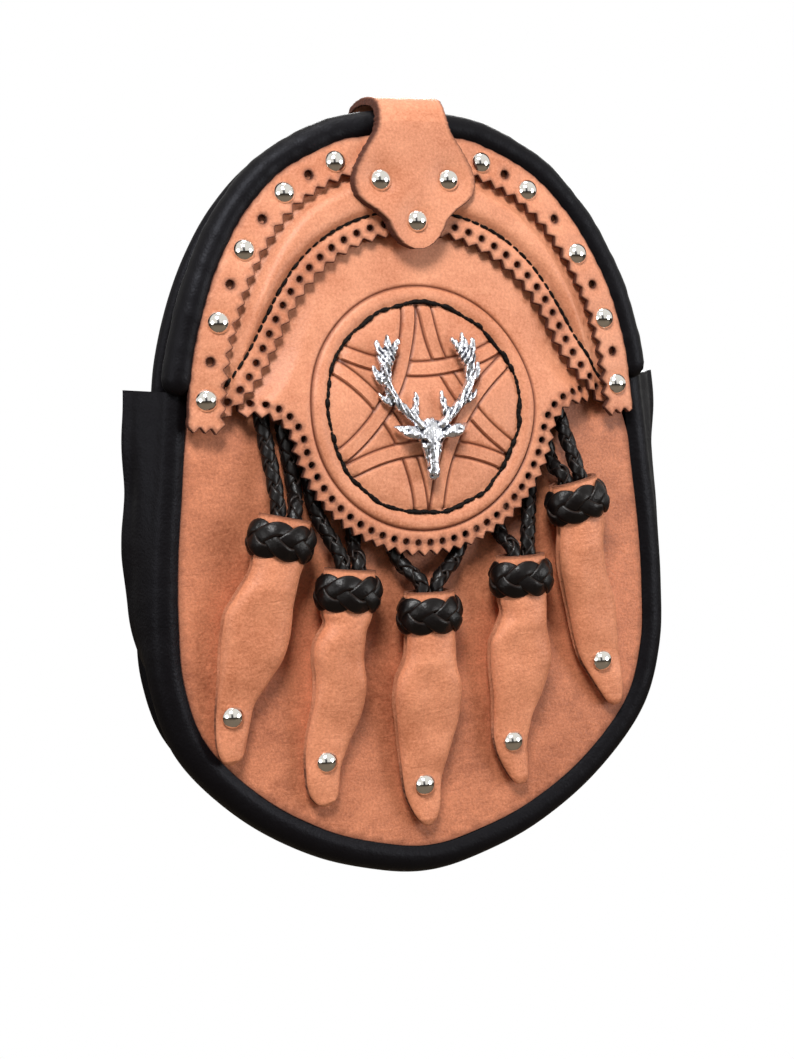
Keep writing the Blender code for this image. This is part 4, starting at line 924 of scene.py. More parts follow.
def make_cords():
    for number, (place, lean, *routes) in enumerate(TASSELS, 1):
        for side, letter, route in ((-1.0, "a", routes[0]), (1.0, "b", routes[1])):
            path = cord_route(place, lean, side, route)
            vertices, faces, marks = braid(path, radians(45.0 + 35.0 * number + 20.0 * side))
            cord = new_piece(f"braided_cord_{number}{letter}", vertices, faces, LACE, "black_lace",
                             {"lace_edge": marks ** 6}, sharp=60.0)
            settle(cord, f"tassel_cord_{number}{letter}")


def make_knots():
    """Ring knots: one lace plaited round and round each tassel's head, up and down in bights."""
    inwards = np.array([0.0, 1.0, 0.0])
    for number, (place, lean, *_) in enumerate(TASSELS, 1):
        head, up, across = tassel_axes(place, lean)
        t = circle(420)
        around, weave = KNOT_TURNS * t + number, KNOT_BIGHTS * t
        c, s = np.cos(around)[:, None], np.sin(around)[:, None]
        reach = KNOT_WEAVE_MIDDLE + KNOT_WEAVE_REACH * np.sin(2.0 * weave)
        rise = KNOT_WEAVE_RISE * np.sin(weave)
        shrink = 1.0 - KNOT_SHRINK * (rise / KNOT_HALF_HEIGHT) ** 2
        wide, deep = (((side + reach) * shrink)[:, None] for side in KNOT_HOLE)
        path = head + wide * c * across + deep * s * inwards + rise[:, None] * up
        out = unit(KNOT_HOLE[1] * c * across + KNOT_HOLE[0] * s * inwards)
        out = out + (rise / KNOT_HALF_HEIGHT * KNOT_TILT)[:, None] * up
        path, out = (np.vstack([line[-2:], line, line[:2]]) for line in (path, out))
        rings, edge = strap_of(path, out, KNOT_LACE_HALF_WIDTH, KNOT_LACE_THICK, 14)
        vertices, faces, marks = join_straps([(rings[2:-2], edge)], closed=True)
        knot = new_piece(f"ring_knot_{number}", vertices, faces, LACE, "black_lace",
                         {"lace_edge": marks ** 6}, sharp=60.0)
        settle(knot, f"tassel_knot_{number}")


def tassel_section(share):
    """Half depth of a tassel's leather and the depth of its middle."""
    half_deep = table_value(TASSEL_DEPTHS, share)
    return half_deep, TASSEL_Y + table_value(TASSEL_DEPTHS, share, 2) * TIP_SET_BACK


def tassel_dents(x, z, swell, valley, share, swing):
    """Soft unevenness of a tassel's leather and the valley down its front, from below the knot on."""
    dents = 0.00016 * (np.sin(210.0 * z + 3.0 * swell + swing[0]) + np.sin(330.0 * z - 140.0 * x + swing[1])
                       + 0.5 * np.sin(520.0 * z + 300.0 * x + swing[2]))
    valley = valley + 0.25 * np.sin(swing[3])
    dents += 0.00055 * np.exp(-(valley / 0.34) ** 2) * np.exp(-((share - 0.40) / 0.16) ** 2)
    return dents * smoothstep((share - 0.22) / 0.15)


def make_tassel_leathers():
    """Leather rolled into a tube at the knot and folded flat at the tip, its edges meeting at the left."""
    rows, columns, opening = 110, 44, radians(9.0)
    around = np.linspace(pi + opening, 3.0 * pi - opening, columns)
    c, s = np.cos(around), np.sin(around)
    share = 1.0 - (1.0 - np.linspace(0.0, 1.0, rows)) ** 1.35
    down = share[:, None]
    flatness = np.interp(down, [0.0, 0.25, 0.7, 1.0], [0.95, 0.85, 0.62, 0.62])
    squeeze, swell = flattened(c, flatness), flattened(s, flatness)
    for number, (left, right) in enumerate(TASSEL_EDGES, 1):
        head, up, across = tassel_axes(*TASSELS[number - 1][:2])
        rim = head + up * (KNOT_HALF_HEIGHT + TASSEL_RIM_ABOVE_KNOT)
        edges = []
        for line, sign in ((left, -1.0), (right, 1.0)):
            start = rim + sign * (across * TASSEL_RIM_HALF_WIDTH)
            low = start - up * (2.0 * KNOT_HALF_HEIGHT)
            shown = [(x / 1000.0, z / 1000.0) for x, z in line if z / 1000.0 < low[2] - 0.003]
            edge = smooth_points([(start[0], start[2]), (low[0], low[2])] + shown, steps=10)
            run = lengths_along(edge)
            edges.append(np.stack([np.interp(share * run[-1], run, edge[:, k]) for k in (0, 1)], -1))
        middle, half = 0.5 * (edges[0] + edges[1]), 0.5 * (edges[1] - edges[0])
        middle_x, middle_z, half_x, half_z = (a[:, k, None] for a in (middle, half) for k in (0, 1))
        half_width = np.linalg.norm(half, axis=1)
        half_deep, set_back = tassel_section(share)
        half_deep = (half_deep * np.clip(half_width / 0.0030, 0.35, 1.0))[:, None]
        swing = RANDOM.uniform(0.0, 2.0 * pi, 6)
        layers = []
        for depth_in in (0.0, TASSEL_WALL):
            lean_in = 1.0 - depth_in / np.maximum(half_width, 1.2 * TASSEL_WALL)[:, None]
            thin = np.maximum(half_deep - depth_in, 0.12 * half_deep)
            x, z = middle_x + half_x * squeeze * lean_in, middle_z + half_z * squeeze * lean_in
            dents = tassel_dents(x, z, s, (x - middle_x) / half_x, down, swing)
            layers.append(np.stack([x, set_back[:, None] + thin * swell + dents, z], -1))
        ring = np.concatenate([layers[0], layers[1][:, ::-1]], 1)
        size = 2 * columns
        faces = ring_faces(rows, size) + [quad[::-1] for quad in wall_end(0, size)] + wall_end(rows - 1, size)
        # Cut mark on the raw edges and the tip: raw edge colour deepened with painted shade, more towards the
        # tip
        cut_edge_and_shade, near = np.zeros((2, rows, size))
        showing = smoothstep((share - 0.60) / 0.2)[:, None] * (0.55 + 0.45 * RANDOM.random((rows, 1)))
        cut_edge_and_shade[:, [0, columns - 1, columns, size - 1]] = np.maximum(showing, 0.25)
        cut_edge_and_shade[0], cut_edge_and_shade[-1] = 0.8, 1.0
        near[:, :3] = near[:, columns - 3:columns + 3] = near[:, -3:] = 0.35 + 0.5 * showing
        near[-5:] = 0.7
        ring_piece(f"tassel_{number}", ring, faces, TASSEL_TAN, "tan_leather", f"tassel_leather_{number}",
                   leather_marks(cut_edge_and_shade, near))


def make_studs():
    cap = stud_template()
    step = 0.0012
    places, out = [], []
    for x, z in strip_stud_places()[0]:
        places.append((x, depth_at(strip_surface, x, z) - 0.0001, z))
        out.append((float(strip_front(x + step, z) - strip_front(x - step, z)), -2.0 * step,
                    float(strip_front(x, z + step) - strip_front(x, z - step))))
    nodes = [f"strip_stud_{k:02d}" for k in range(1, 11)]
    set_studs("strip_studs", places, unit(np.array(out)), cap, nodes, 0.02)
    _, ahead = tab_path()
    places = []
    for x, z in tab_stud_places(ahead):
        y = np.interp(-z, -ahead[:, 1], ahead[:, 0]) - TAB_THICK
        places.append((x, y + TAB_DIMPLE - 0.0002, z))
    set_studs("tab_studs", places, FORWARD, cap, [f"tab_stud_{k:02d}" for k in range(1, 4)], 0.02)
    for number, (x, z) in enumerate(TASSEL_STUDS, 1):
        x, z = x / 1000.0, z / 1000.0
        top = from_medallion(TASSELS[number - 1][0])[1] + KNOT_HALF_HEIGHT
        length = top - min(p[1] for p in TASSEL_EDGES[number - 1][0]) / 1000.0
        share = (top - z) / length
        fronts = [np.subtract(*tassel_section(share + d)[::-1]) for d in (-0.03, 0.0, 0.03)]
        slope = (fronts[2] - fronts[0]) / (0.06 * length)
        set_studs(f"tassel_stud_cap_{number}", [(x, min(fronts) - 0.0001, z)],
                  np.array([0.0, -1.0, -slope]) / np.hypot(1.0, slope), cap, [f"tassel_stud_{number}"])
    bpy.data.objects.remove(cap)


def strip_stud_places():
    """Studs and the holes between them down both sides of the strip, clear of the closing tab."""
    line = beside(upper_rim(STRIP_END_Z + STUD_TO_STRIP_END, 161), STUD_LINE)
    run = resample([p for p in line[::-1] if p[0] >= TAB_HALF_WIDTH + STUD_TO_TAB], STUD_RUN_STEPS + 1)
    studs, holes = [], []
    for side, shares in STRIP_STUD_RUNS:
        between = [(a + b) / 2.0 for a, b in zip(shares, shares[1:])]
        for places, kept in ((shares, studs), (between, holes)):
            kept += [run[round(STUD_RUN_STEPS * share)] * (side, 1.0) for share in places]
    return studs, holes


def strip_surface(x, z):
    """Strip's front with soft dimples at its studs and holes and a low roll at its edges."""
    y = strip_front(x, z)
    studs, holes = strip_stud_places()
    for places, reach, power in ((studs, 0.0044, 4), (holes, 0.0021, 2)):
        for px, pz in places:
            y = y + 0.00050 * np.exp(-(np.hypot(x - px, z - pz) / reach) ** power)
    inset = rim_distance(x, z)
    y = y + 0.00035 * np.clip(1.0 - (inset - 0.0029) / 0.0014, 0.0, 1.0)
    return y + 0.00012 * np.sin(260.0 * x + 1.0) * np.sin(240.0 * z)


def make_strip():
    edge = upper_rim(STRIP_END_Z, 120)
    outer = beside(edge, UPPER_ROLL_RADIUS * ROLL_UNDER_STRIP)
    run = lengths_along(outer)
    scalloped = np.abs(np.sin(pi * run / 0.0052)) * (run > 0.001) * (run < run[-1] - 0.001)
    outer = beside(outer, -0.00030 * scalloped)
    inner = beside(edge, STRIP_WIDTH)
    teeth = pinked(inner[::-1], STRIP_TOOTH_PITCH, CUT_TOOTH_DEPTH)
    left_end = pinked([outer[-1], inner[-1]], STRIP_END_TOOTH_PITCH, CUT_TOOTH_DEPTH)
    right_end = pinked([inner[0], outer[0]], STRIP_END_TOOTH_PITCH, CUT_TOOTH_DEPTH)
    outline = np.concatenate([outer[:-1], left_end[:-1], teeth[:-1], right_end[:-1]])
    holes = [hole(place, STRETCHED_HOLE_RADIUS) for place in strip_stud_places()[1]]
    strip = leather_sheet("studded_strip", outline, holes, strip_surface, STRIP_THICK, TAN, pitch=0.0012,
                          rounding=0.00035)
    settle(strip, "strip")


def round_medallion(radius, turn):
    return np.stack([radius * np.cos(turn), MEDALLION_Z + radius * np.sin(turn)], -1)


def over_crown(radius_at, low, count=181):
    """Line right to left over the medallion, its radius given for each bearing."""
    turn = np.linspace(low, 180.0 - low, count)
    return round_medallion(radius_at(np.minimum(turn, 180.0 - turn)), np.radians(turn))


def arch_line(outward, low=4.0, count=181):
    """Line beside the arch's inner edge, right to left over the crown."""
    return over_crown(lambda bearing: arch_edge_radius(bearing) + outward, low, count)


ARCH_STITCHES = over_crown(lambda bearing: np.interp(bearing, *STITCH_CURVE.T) / 1000.0, 5.0)


def arch_surface(x, z):
    """Arch's padded front, sunk along its stitches, dipped at its holes and softly uneven."""
    y = arch_front(x, z)
    inset = rim_distance(x, z)
    stitches = path_distance(x, z, ARCH_STITCHES)
    puffed = smoothstep((arch_edge_distance(x, z) - BORDER_WIDTH) / 0.0015)
    y = y - 0.0008 * puffed * smoothstep((inset - STRIP_WIDTH - TOOTH_DEPTH) / 0.0050)
    y = y + 0.00075 * np.exp(-(stitches / 0.0010) ** 2)
    y = y + 0.00015 * np.exp(-(path_distance(x, z, arch_line(HOLE_TO_EDGE)) / 0.0016) ** 2)
    return y + 0.00018 * puffed * np.sin(170.0 * x + 60.0 * z) * np.sin(150.0 * z - 40.0 * x)


def make_arch():
    outer = beside(upper_rim(ARCH_END_Z, 90), UPPER_ROLL_RADIUS + 2.0 * GAP)
    teeth = pinked(arch_line(0.0, -1.0)[::-1], ARCH_HOLE_PITCH, CUT_TOOTH_DEPTH)
    line = arch_line(HOLE_TO_EDGE)
    count = round(lengths_along(line)[-1] / ARCH_HOLE_PITCH) + 1
    holes = [hole(p, HOLE_RADIUS) for p in resample(line, count)]
    arch = leather_sheet("padded_arch", np.concatenate([outer, teeth]), holes, arch_surface, ARCH_THICK,
                         TAN, pitch=0.0012, rounding=0.00035)
    settle(arch, "arch")
    path = resample(ARCH_STITCHES, 400)[6:-6]
    path = at_depth(path, arch_surface(path[:, 0], path[:, 1]) - 0.00005)
    sew("arch_stitches", path, FORWARD, length=0.0029, radius=0.00050, pitch=0.0030, unevenness=0.20)


def ring_line(radius, count=240, wobble=0.0):
    turn = 2.0 * pi * np.arange(count + 1) / count
    waves = np.sin(5.0 * turn + 1.0) + 0.6 * np.sin(11.0 * turn) + 0.5 * np.sin(17.0 * turn + 2.0)
    radius = radius + wobble * waves
    return np.stack([radius * np.sin(turn), MEDALLION_Z + radius * np.cos(turn)], -1)


def band_centre(bearing):
    """Centre of a band's arc."""
    reach = BAND_NEAREST + BAND_ARC_RADIUS
    return np.array([reach * cos(radians(bearing)), MEDALLION_Z + reach * sin(radians(bearing))])


def band_rise(x, z):
    """How far the bands stand over the ground between them, from 0 to 1."""
    rise = np.zeros(np.shape(x))
    for bearing in BANDS:
        cx, cz = band_centre(bearing)
        away = np.abs(np.hypot(x - cx, z - cz) - BAND_ARC_RADIUS)
        rise = np.maximum(rise, smoothstep((BAND_WIDTH / 2.0 + 0.0004 - away) / 0.0012))
    return rise * smoothstep((STITCHED_RADIUS - 0.0005 - np.hypot(x, z - MEDALLION_Z)) / 0.0015)


def band_lines():
    """Border lines of the six interlaced bands, broken where another band passes over."""
    centres = {bearing: band_centre(bearing) for bearing in BANDS}
    lines = []
    for bearing, over in BANDS.items():
        for side in (-1.0, 1.0):
            radius = BAND_ARC_RADIUS + side * BAND_WIDTH / 2.0
            turn = radians(bearing + 180.0) + np.linspace(-0.48, 0.48, 220)
            path = centres[bearing] + radius * np.stack([np.cos(turn), np.sin(turn)], -1)
            inside = np.hypot(path[:, 0], path[:, 1] - MEDALLION_Z) < STITCHED_RADIUS - 0.0006
            for other in over:
                away = np.abs(np.hypot(*(path - centres[other]).T) - BAND_ARC_RADIUS)
                inside &= away > BAND_WIDTH / 2.0
            breaks = np.flatnonzero(np.diff(inside.astype(int)))
            for run in np.split(np.arange(len(path)), breaks + 1):
                if inside[run[0]] and len(run) > 5:
                    lines.append(path[run])
    return lines


def flap_surface(x, z):
    """Flap's front, gently domed inside the stitched ring and softly uneven."""
    y = flap_front(x, z)
    radius = np.hypot(x, z - MEDALLION_Z)
    y = y - 0.0004 * smoothstep((STITCHED_RADIUS - radius) / 0.006) - 0.00028 * band_rise(x, z)
    y = y + 0.00070 * np.exp(-((radius - STITCHED_RADIUS) / 0.0011) ** 2)
    ring = (radius - 0.5 * (STITCHED_RADIUS + GROOVE_RADIUS)) / (0.5 * (GROOVE_RADIUS - STITCHED_RADIUS))
    y = y - 0.00065 * np.sqrt(np.clip(1.0 - ring ** 2, 0.0, 1.0))
    return y + 0.00015 * np.sin(150.0 * x + 1.0) * np.sin(170.0 * z + 2.0)


def flap_edge():
    """Flap's lower edge, from the left wing's tip round the medallion to the right wing's tip."""
    span = WING_TIP_X - MEDALLION_EDGE_RADIUS
    wing = np.array([(MEDALLION_EDGE_RADIUS + u * span, MEDALLION_Z + v * span) for u, v in WING_TABLE])
    arc = round_medallion(MEDALLION_EDGE_RADIUS, np.radians(190.0 + 160.0 * np.arange(41) / 40.0))
    return smooth_points(np.concatenate([wing[::-1] * [-1.0, 1.0], arc, wing]), steps=3)


def make_flap():
    edge = flap_edge()
    teeth = pinked(edge, FLAP_HOLE_PITCH, CUT_TOOTH_DEPTH)
    top = arch_line(BORDER_WIDTH + FLAP_UNDERLAP, 6.0, 61)
    top[:, 0] = np.clip(top[:, 0], -WING_TIP_X, WING_TIP_X)
    line = beside(edge, HOLE_TO_EDGE)
    line = line[np.abs(line[:, 0]) < WING_TIP_X - HOLE_TO_EDGE]
    count = round(lengths_along(line)[-1] / FLAP_HOLE_PITCH) + 1
    holes = [hole(p, HOLE_RADIUS) for p in resample(line, count)]
    carved = [(resample(ring_line(GROOVE_RADIUS), 360), 0.00070, 0.00075)]
    for path in band_lines():
        carved.append((resample(path, max(4, int(lengths_along(path)[-1] / 0.0006))), 0.00070, 0.00068))
    flap = leather_sheet("carved_flap", np.concatenate([teeth, top]), holes, flap_surface, FLAP_THICK, TAN,
                         pitch=0.0013, lines=carved, rounding=0.00032)
    settle(flap, "flap")
    path = ring_line(STITCHED_RADIUS, 480, 0.00026)[:-1]
    path = path + RANDOM.normal(0.0, 0.00010, path.shape)
    path = at_depth(path, flap_surface(path[:, 0], path[:, 1]) - 0.00015)
    sew("medallion_stitches", path, FORWARD, length=0.0021, radius=0.00062, pitch=0.0016, unevenness=0.38,
        closed=True)


def panel_surface(x, z):
    return panel_front(x, z) + 0.0004 * np.sin(60.0 * x + 1.0) * np.sin(55.0 * z + 0.5)


def make_front_panel():
    above = smoothstep((RIM[:, 1] - PANEL_STEP_Z) / PANEL_STEP_REACH)
    low, high = LOWER_ROLL_RADIUS * PANEL_UNDER_ROLL, UPPER_ROLL_RADIUS + GAP
    outline = beside(RIM, low + (high - low) * above, closed=True)
    panel = leather_sheet("front_wall", outline, [], panel_surface, PANEL_THICK, PANEL_TAN, "panel_leather",
                          pitch=0.0022)
    settle(panel, "front_panel")


def uneven(path, size, waves):
    """Small smooth variation along a path."""
    run = lengths_along(path)
    return sum(size / (k + 1) * np.sin(run * w + k * 1.7) for k, w in enumerate(waves))


def make_rolls():
    flat = upper_rim(SHOULDER_Z + ROLL_END_GAP, 260)
    path = at_depth(flat, strip_middle_y(flat[:, 1]) + ROLL_BEHIND_STRIP)
    radii = UPPER_ROLL_RADIUS + uneven(path, 0.00010, (310.0, 770.0, 1300.0))
    settle(new_piece("upper_piping", *limb(path, radii, 40), PIPING, "black_leather"), "upper_roll")
    path = at_depth(RIM, back_roll_y(RIM[:, 1]))
    back = limb(path, BACK_ROLL_RADIUS, 20, closed=True)
    settle(new_piece("back_piping", *back, PIPING, "black_leather"), "back_roll")


def gusset_section(z):
    """Outer wall line across the gusset: (outwards, depth) from the roll's middle."""
    roll = LOWER_ROLL_RADIUS
    centre_y = PANEL_FRONT_Y + PANEL_SLOPE * z + ROLL_BEHIND_PANEL
    reach = back_roll_y(z) - BACK_ROLL_RADIUS - GAP - centre_y
    bow = smoothstep((z - GUSSET_BOW_LOW_Z) / (SHOULDER_Z - GUSSET_BOW_LOW_Z))
    sink = smoothstep((GUSSET_RECESS_TOP_Z - z) / GUSSET_RECESS_REACH)
    middle = roll + GUSSET_BOW * bow - GUSSET_RECESS * sink
    line = [(roll * cos(radians(a)), -roll * sin(radians(a))) for a in (128.0, 95.0, 60.0, 25.0)]
    first, second, third, last = (share * reach for share in GUSSET_STATIONS)
    line.append((roll + 0.45 * GUSSET_BOW * bow, first))
    line.append((0.5 * (roll + middle) + 0.2 * GUSSET_BOW * bow - 0.1 * GUSSET_RECESS * sink, second))
    line.append((middle, third))
    line.append((0.45 * middle + 0.3 * GUSSET_HEM_INSET, last))
    line.append((GUSSET_HEM_INSET, reach))
    return resample(smooth_points(line), 40), centre_y


def make_gusset():
    path = lower_rim(SHOULDER_Z, 300)
    rings = []
    share = np.linspace(0.0, 1.0, 40)
    for point, into, s in zip(path, left_normals(path), lengths_along(path)):
        line, centre_y = gusset_section(point[1])
        folds = 0.00045 * np.sin(95.0 * s + 4.0 * share) + 0.00030 * np.sin(230.0 * s - 5.0 * share + 1.0)
        folds = folds * smoothstep((share - 0.40) / 0.2) * smoothstep((1.0 - share) / 0.15)
        inside = beside(line, GUSSET_THICK)
        inside[-1, 1] = line[-1, 1]
        across = np.concatenate([beside(line, -folds), inside[::-1]])
        rings.append(at_depth(point - np.outer(across[:, 0], into), centre_y + across[:, 1]))
    rings = np.array(rings)
    rows, size = rings.shape[:2]
    faces = ring_faces(rows, size) + wall_end(0, size) + wall_end(rows - 1, size)
    ring_piece("gusset_wall", rings, faces, BLACK, "black_leather", "gusset")


def tab_path():
    """Inner side of the closing tab as (y, z): up the back, over the rolls, down the front."""
    back = BACK_ROLL_Y + BACK_ROLL_RADIUS + 2.0 * GAP
    roll_y = float(strip_middle_y(HALF_HEIGHT)) + ROLL_BEHIND_STRIP
    clear = UPPER_ROLL_RADIUS + 2.0 * GAP
    top = HALF_HEIGHT + clear
    below = HALF_HEIGHT - TAB_TIP_Z
    side = [
        (BACK_FACE, TAB_BACK_END_Z), (BACK_FACE + 0.3 * GAP, TAB_BACK_END_Z + 2.0 * clear),
        (back, HALF_HEIGHT - 0.8 * clear), (back + GAP, HALF_HEIGHT + 0.2 * clear),
        (back - 0.7 * clear, top - 0.1 * clear), (roll_y + 1.1 * clear, top + 0.12 * clear),
        (roll_y, top + 0.02 * clear), (roll_y - 0.72 * clear, HALF_HEIGHT + 0.76 * clear),
        (roll_y - 1.08 * clear, HALF_HEIGHT + 0.04 * clear),
    ]
    stand = BORDER_STAND + PUFF_HEIGHT + GAP
    for share in (0.84, 0.68, 0.46, 0.22):
        z = TAB_TIP_Z + share * below
        side.append((float(strip_middle_y(z)) - stand, z))
    side.append((float(strip_middle_y(TAB_TIP_Z)) - stand + TAB_TIP_DROOP, TAB_TIP_Z))
    path = smooth_points(side, steps=6)
    crown = int(np.argmax(path[:, 1]))
    return path[:crown + 1], path[crown:]


def tab_stud_places(ahead):
    return [(a * TAB_HALF_WIDTH, TAB_TIP_Z + u * (ahead[0, 1] - TAB_TIP_Z)) for a, u in TAB_STUDS]


def make_tab():
    """Thick leather tab: one cut piece folded over the top, pressed in round its studs."""
    behind, ahead = tab_path()
    studs = tab_stud_places(ahead)
    behind, ahead = resample(behind, TAB_BACK_RINGS), resample(ahead, TAB_FRONT_RINGS)
    outline = smooth_points(TAB_TABLE)
    share = np.clip((ahead[:, 1] - TAB_TIP_Z) / (ahead[0, 1] - TAB_TIP_Z), 0.0, 1.0)
    neck = TAB_HALF_WIDTH * TAB_TABLE[-1][1]
    front_widths = TAB_HALF_WIDTH * np.interp(share, outline[:, 0], outline[:, 1])
    back_widths = neck * np.interp(np.linspace(0.0, 1.0, TAB_BACK_RINGS), [0.0, 0.06, 0.2, 1.0],
                                   [0.72, 0.93, 1.0, 1.0])
    path = np.concatenate([behind, ahead[1:]])
    widths = np.concatenate([back_widths, front_widths[1:]])
    rings, cut_edge_and_shade = [], []
    inner_share = np.linspace(-1.0, 1.0, TAB_TOP_POINTS)
    for k, (point, normal, half) in enumerate(zip(path, left_normals(path), widths)):
        r = min(TAB_EDGE_ROUNDING, 0.35 * half)
        half = half + 0.00012 * RANDOM.normal()
        flare = 0.0005 * RANDOM.uniform(0.6, 1.2)
        xs = np.concatenate([[-half - flare, -half, -half + 0.3 * r], inner_share * (half - r),
                             [half - 0.3 * r, half, half + 0.5 * flare]])
        side = np.array([0.12 * TAB_THICK, TAB_THICK - r, TAB_THICK - 0.3 * r])
        up = np.concatenate([side, np.full(TAB_TOP_POINTS, TAB_THICK), side[::-1]])
        last = len(up) - 1
        if k >= len(behind) and point[1] < HALF_HEIGHT:
            for sx, sz in studs:
                away = np.hypot(xs - sx, point[1] - sz)
                up = up - TAB_STUD_PRESS * np.exp(-(away / TAB_PRESS_REACH) ** 2) * (up > 0.5 * TAB_THICK)
            up = up + 0.00025 * np.cos(2.2 * xs / TAB_HALF_WIDTH) * (up > 0.5 * TAB_THICK)
        low = np.linspace(half - 0.0002, -half + 0.0002, TAB_UNDER_POINTS)
        xs, up = np.concatenate([xs, low]), np.concatenate([up, np.zeros(TAB_UNDER_POINTS)])
        rings.append(np.stack([xs, point[0] - normal[0] * up, point[1] - normal[1] * up], -1))
        # Cut mark on the edges and on a row beside them on the top face: raw edge colour with painted shade
        edge = np.zeros(len(xs))
        edge[[0, 1, last - 1, last]] = 1.0
        edge[[2, last - 2]] = 0.9
        edge[[3, last - 3]] = 0.30 + 0.25 * RANDOM.random()
        cut_edge_and_shade.append(edge)
    rings, cut_edge_and_shade = np.array(rings), np.array(cut_edge_and_shade)
    cut_edge_and_shade[-1] = 1.0
    near = np.exp(-np.minimum(widths[:, None] - np.abs(rings[:, :, 0]), 0.02) / 0.0011)
    ring_piece("folded_tab", rings, tube_faces(*rings.shape[:2]), TAN, "tan_leather", "closing_tab",
               leather_marks(cut_edge_and_shade, near))


def make_back():
    """Back wall and belt tunnel, with a row of stitches along each sewn edge."""
    outline = beside(even_loop(RIM, 200), BACK_ROLL_RADIUS + GAP, closed=True)
    back = leather_sheet("back_wall", outline, [], lambda x, z: back_roll_y(z) - BACK_THICK / 2.0,
                         BACK_THICK, BLACK_BACK, "black_leather", pitch=0.006)
    settle(back, "back_panel")
    half, out = LOOP_OPENING_HEIGHT / 2.0, BACK_FACE + LOOP_OPENING_DEPTH
    corners = [(BACK_FACE, LOOP_Z - half - LOOP_SEAM), (BACK_FACE, LOOP_Z - half),
               (out, LOOP_Z - half + LOOP_CORNER), (out, LOOP_Z + half - LOOP_CORNER),
               (BACK_FACE, LOOP_Z + half), (BACK_FACE, LOOP_Z + half + LOOP_SEAM)]
    path = resample(corners, LOOP_RINGS)
    for _ in range(3):
        path[1:-1] = (path[:-2] + 2.0 * path[1:-1] + path[2:]) / 4.0
    share = np.linspace(0.0, 1.0, LOOP_RINGS)
    widths = np.interp(share, [0.0, 0.03, 0.97, 1.0], [0.96, 1.0, 1.0, 0.96]) * LOOP_HALF_WIDTH
    up = np.concatenate([[LOOP_THICK - LOOP_EDGE], np.full(LOOP_POINTS, LOOP_THICK),
                         [LOOP_THICK - LOOP_EDGE, 0.0004], np.zeros(LOOP_POINTS), [0.0004]])
    rings = []
    for point, normal, wide in zip(path, left_normals(path), widths):
        xs = np.concatenate([[-wide], np.linspace(-wide + LOOP_EDGE, wide - LOOP_EDGE, LOOP_POINTS),
                             [wide, wide], np.linspace(wide - 0.0004, -wide + 0.0004, LOOP_POINTS), [-wide]])
        rings.append(np.stack([xs, point[0] - normal[0] * up, point[1] - normal[1] * up], -1))
    rings = np.array(rings)
    ring_piece("belt_tunnel", rings, tube_faces(*rings.shape[:2]), BLACK_BACK, "black_leather", "back_loop")
    x = np.linspace(-LOOP_HALF_WIDTH + 0.0025, LOOP_HALF_WIDTH - 0.0025, 40)
    for name, z in (("lower", LOOP_Z - half - 0.55 * LOOP_SEAM), ("upper", LOOP_Z + half + 0.55 * LOOP_SEAM)):
        seam = at_depth(np.stack([x, np.full(40, z)], -1), BACK_FACE + LOOP_THICK + 0.0001)
        sew(f"tunnel_stitches_{name}", seam, BACKWARD, length=0.0030, radius=0.00042, pitch=0.0038,
            unevenness=0.04)
    edge = beside(even_loop(RIM, 240), BACK_ROLL_RADIUS + 0.0030, closed=True)
    seam = at_depth(edge, back_roll_y(edge[:, 1]) + BACK_THICK / 2.0 + 0.0001)
    sew("back_stitches", seam, BACKWARD, length=0.0030, radius=0.00042, pitch=0.0040, unevenness=0.04,
        closed=True)


def read_numbers(items, key, size, kind=float):
    numbers = np.empty(size * len(items), kind)
    items.foreach_get(key, numbers)
    return numbers.reshape(-1, size)


def dent(x, z, at_x, at_z, reach):
    """From 1 at a place to 0 well away from it, the same on both sides of the face."""
    return np.exp(-(np.hypot(np.abs(x) - at_x, z - at_z) / reach) ** 2)


def stag_relief(x, z):
    """Bark and grooves on the antlers, hair, eyes, nostrils, ears and cheeks on the head; millimetres."""
    antler = smoothstep((z - 21.0) / 2.5)
    bark = (np.sin(2.6 * x + 1.9 * z + 2.0 * np.sin(0.9 * z)) + np.sin(4.1 * x - 3.0 * z + 1.0)
            + 0.8 * np.sin(7.3 * z + 3.1 * np.sin(2.0 * x)) + 0.6 * np.sin(9.0 * x + 5.0))
    hair = np.sin(7.0 * np.abs(x) + 2.5 * np.sin(0.8 * z)) * 0.5 + np.sin(3.3 * z + 2.0 * np.abs(x)) * 0.4
    grooves = np.sin(5.2 * (np.abs(x) * 0.75 - z * 0.35) + 1.3 * np.sin(0.7 * z))
    rise = (0.05 * bark + 0.16 * grooves) * antler + 0.09 * hair * (1.0 - antler)
    eye = np.hypot(np.abs(x) - 3.0, z - 15.3)
    rise = rise - 0.75 * np.exp(-(eye / 0.75) ** 2) + 0.35 * np.exp(-((eye - 1.3) / 0.4) ** 2) * (z > 15.2)
    rise = rise - 0.6 * dent(x, z, 1.15, 5.2, 0.5)
    rise = rise - 0.55 * np.exp(-(np.hypot((np.abs(x) - 8.4) / 2.0, z - 19.1) / 0.8) ** 2)
    return rise - 0.35 * np.exp(-((np.abs(x) - 1.9) / 0.35) ** 2) * (z > 7.5) * (z < 13.5)


def neighbours_added(start, numbers, a, b):
    """Start plus the numbers of the vertices at the other ends of each vertex's edges."""
    total = start.copy()
    np.add.at(total, a, numbers[b])
    np.add.at(total, b, numbers[a])
    return total


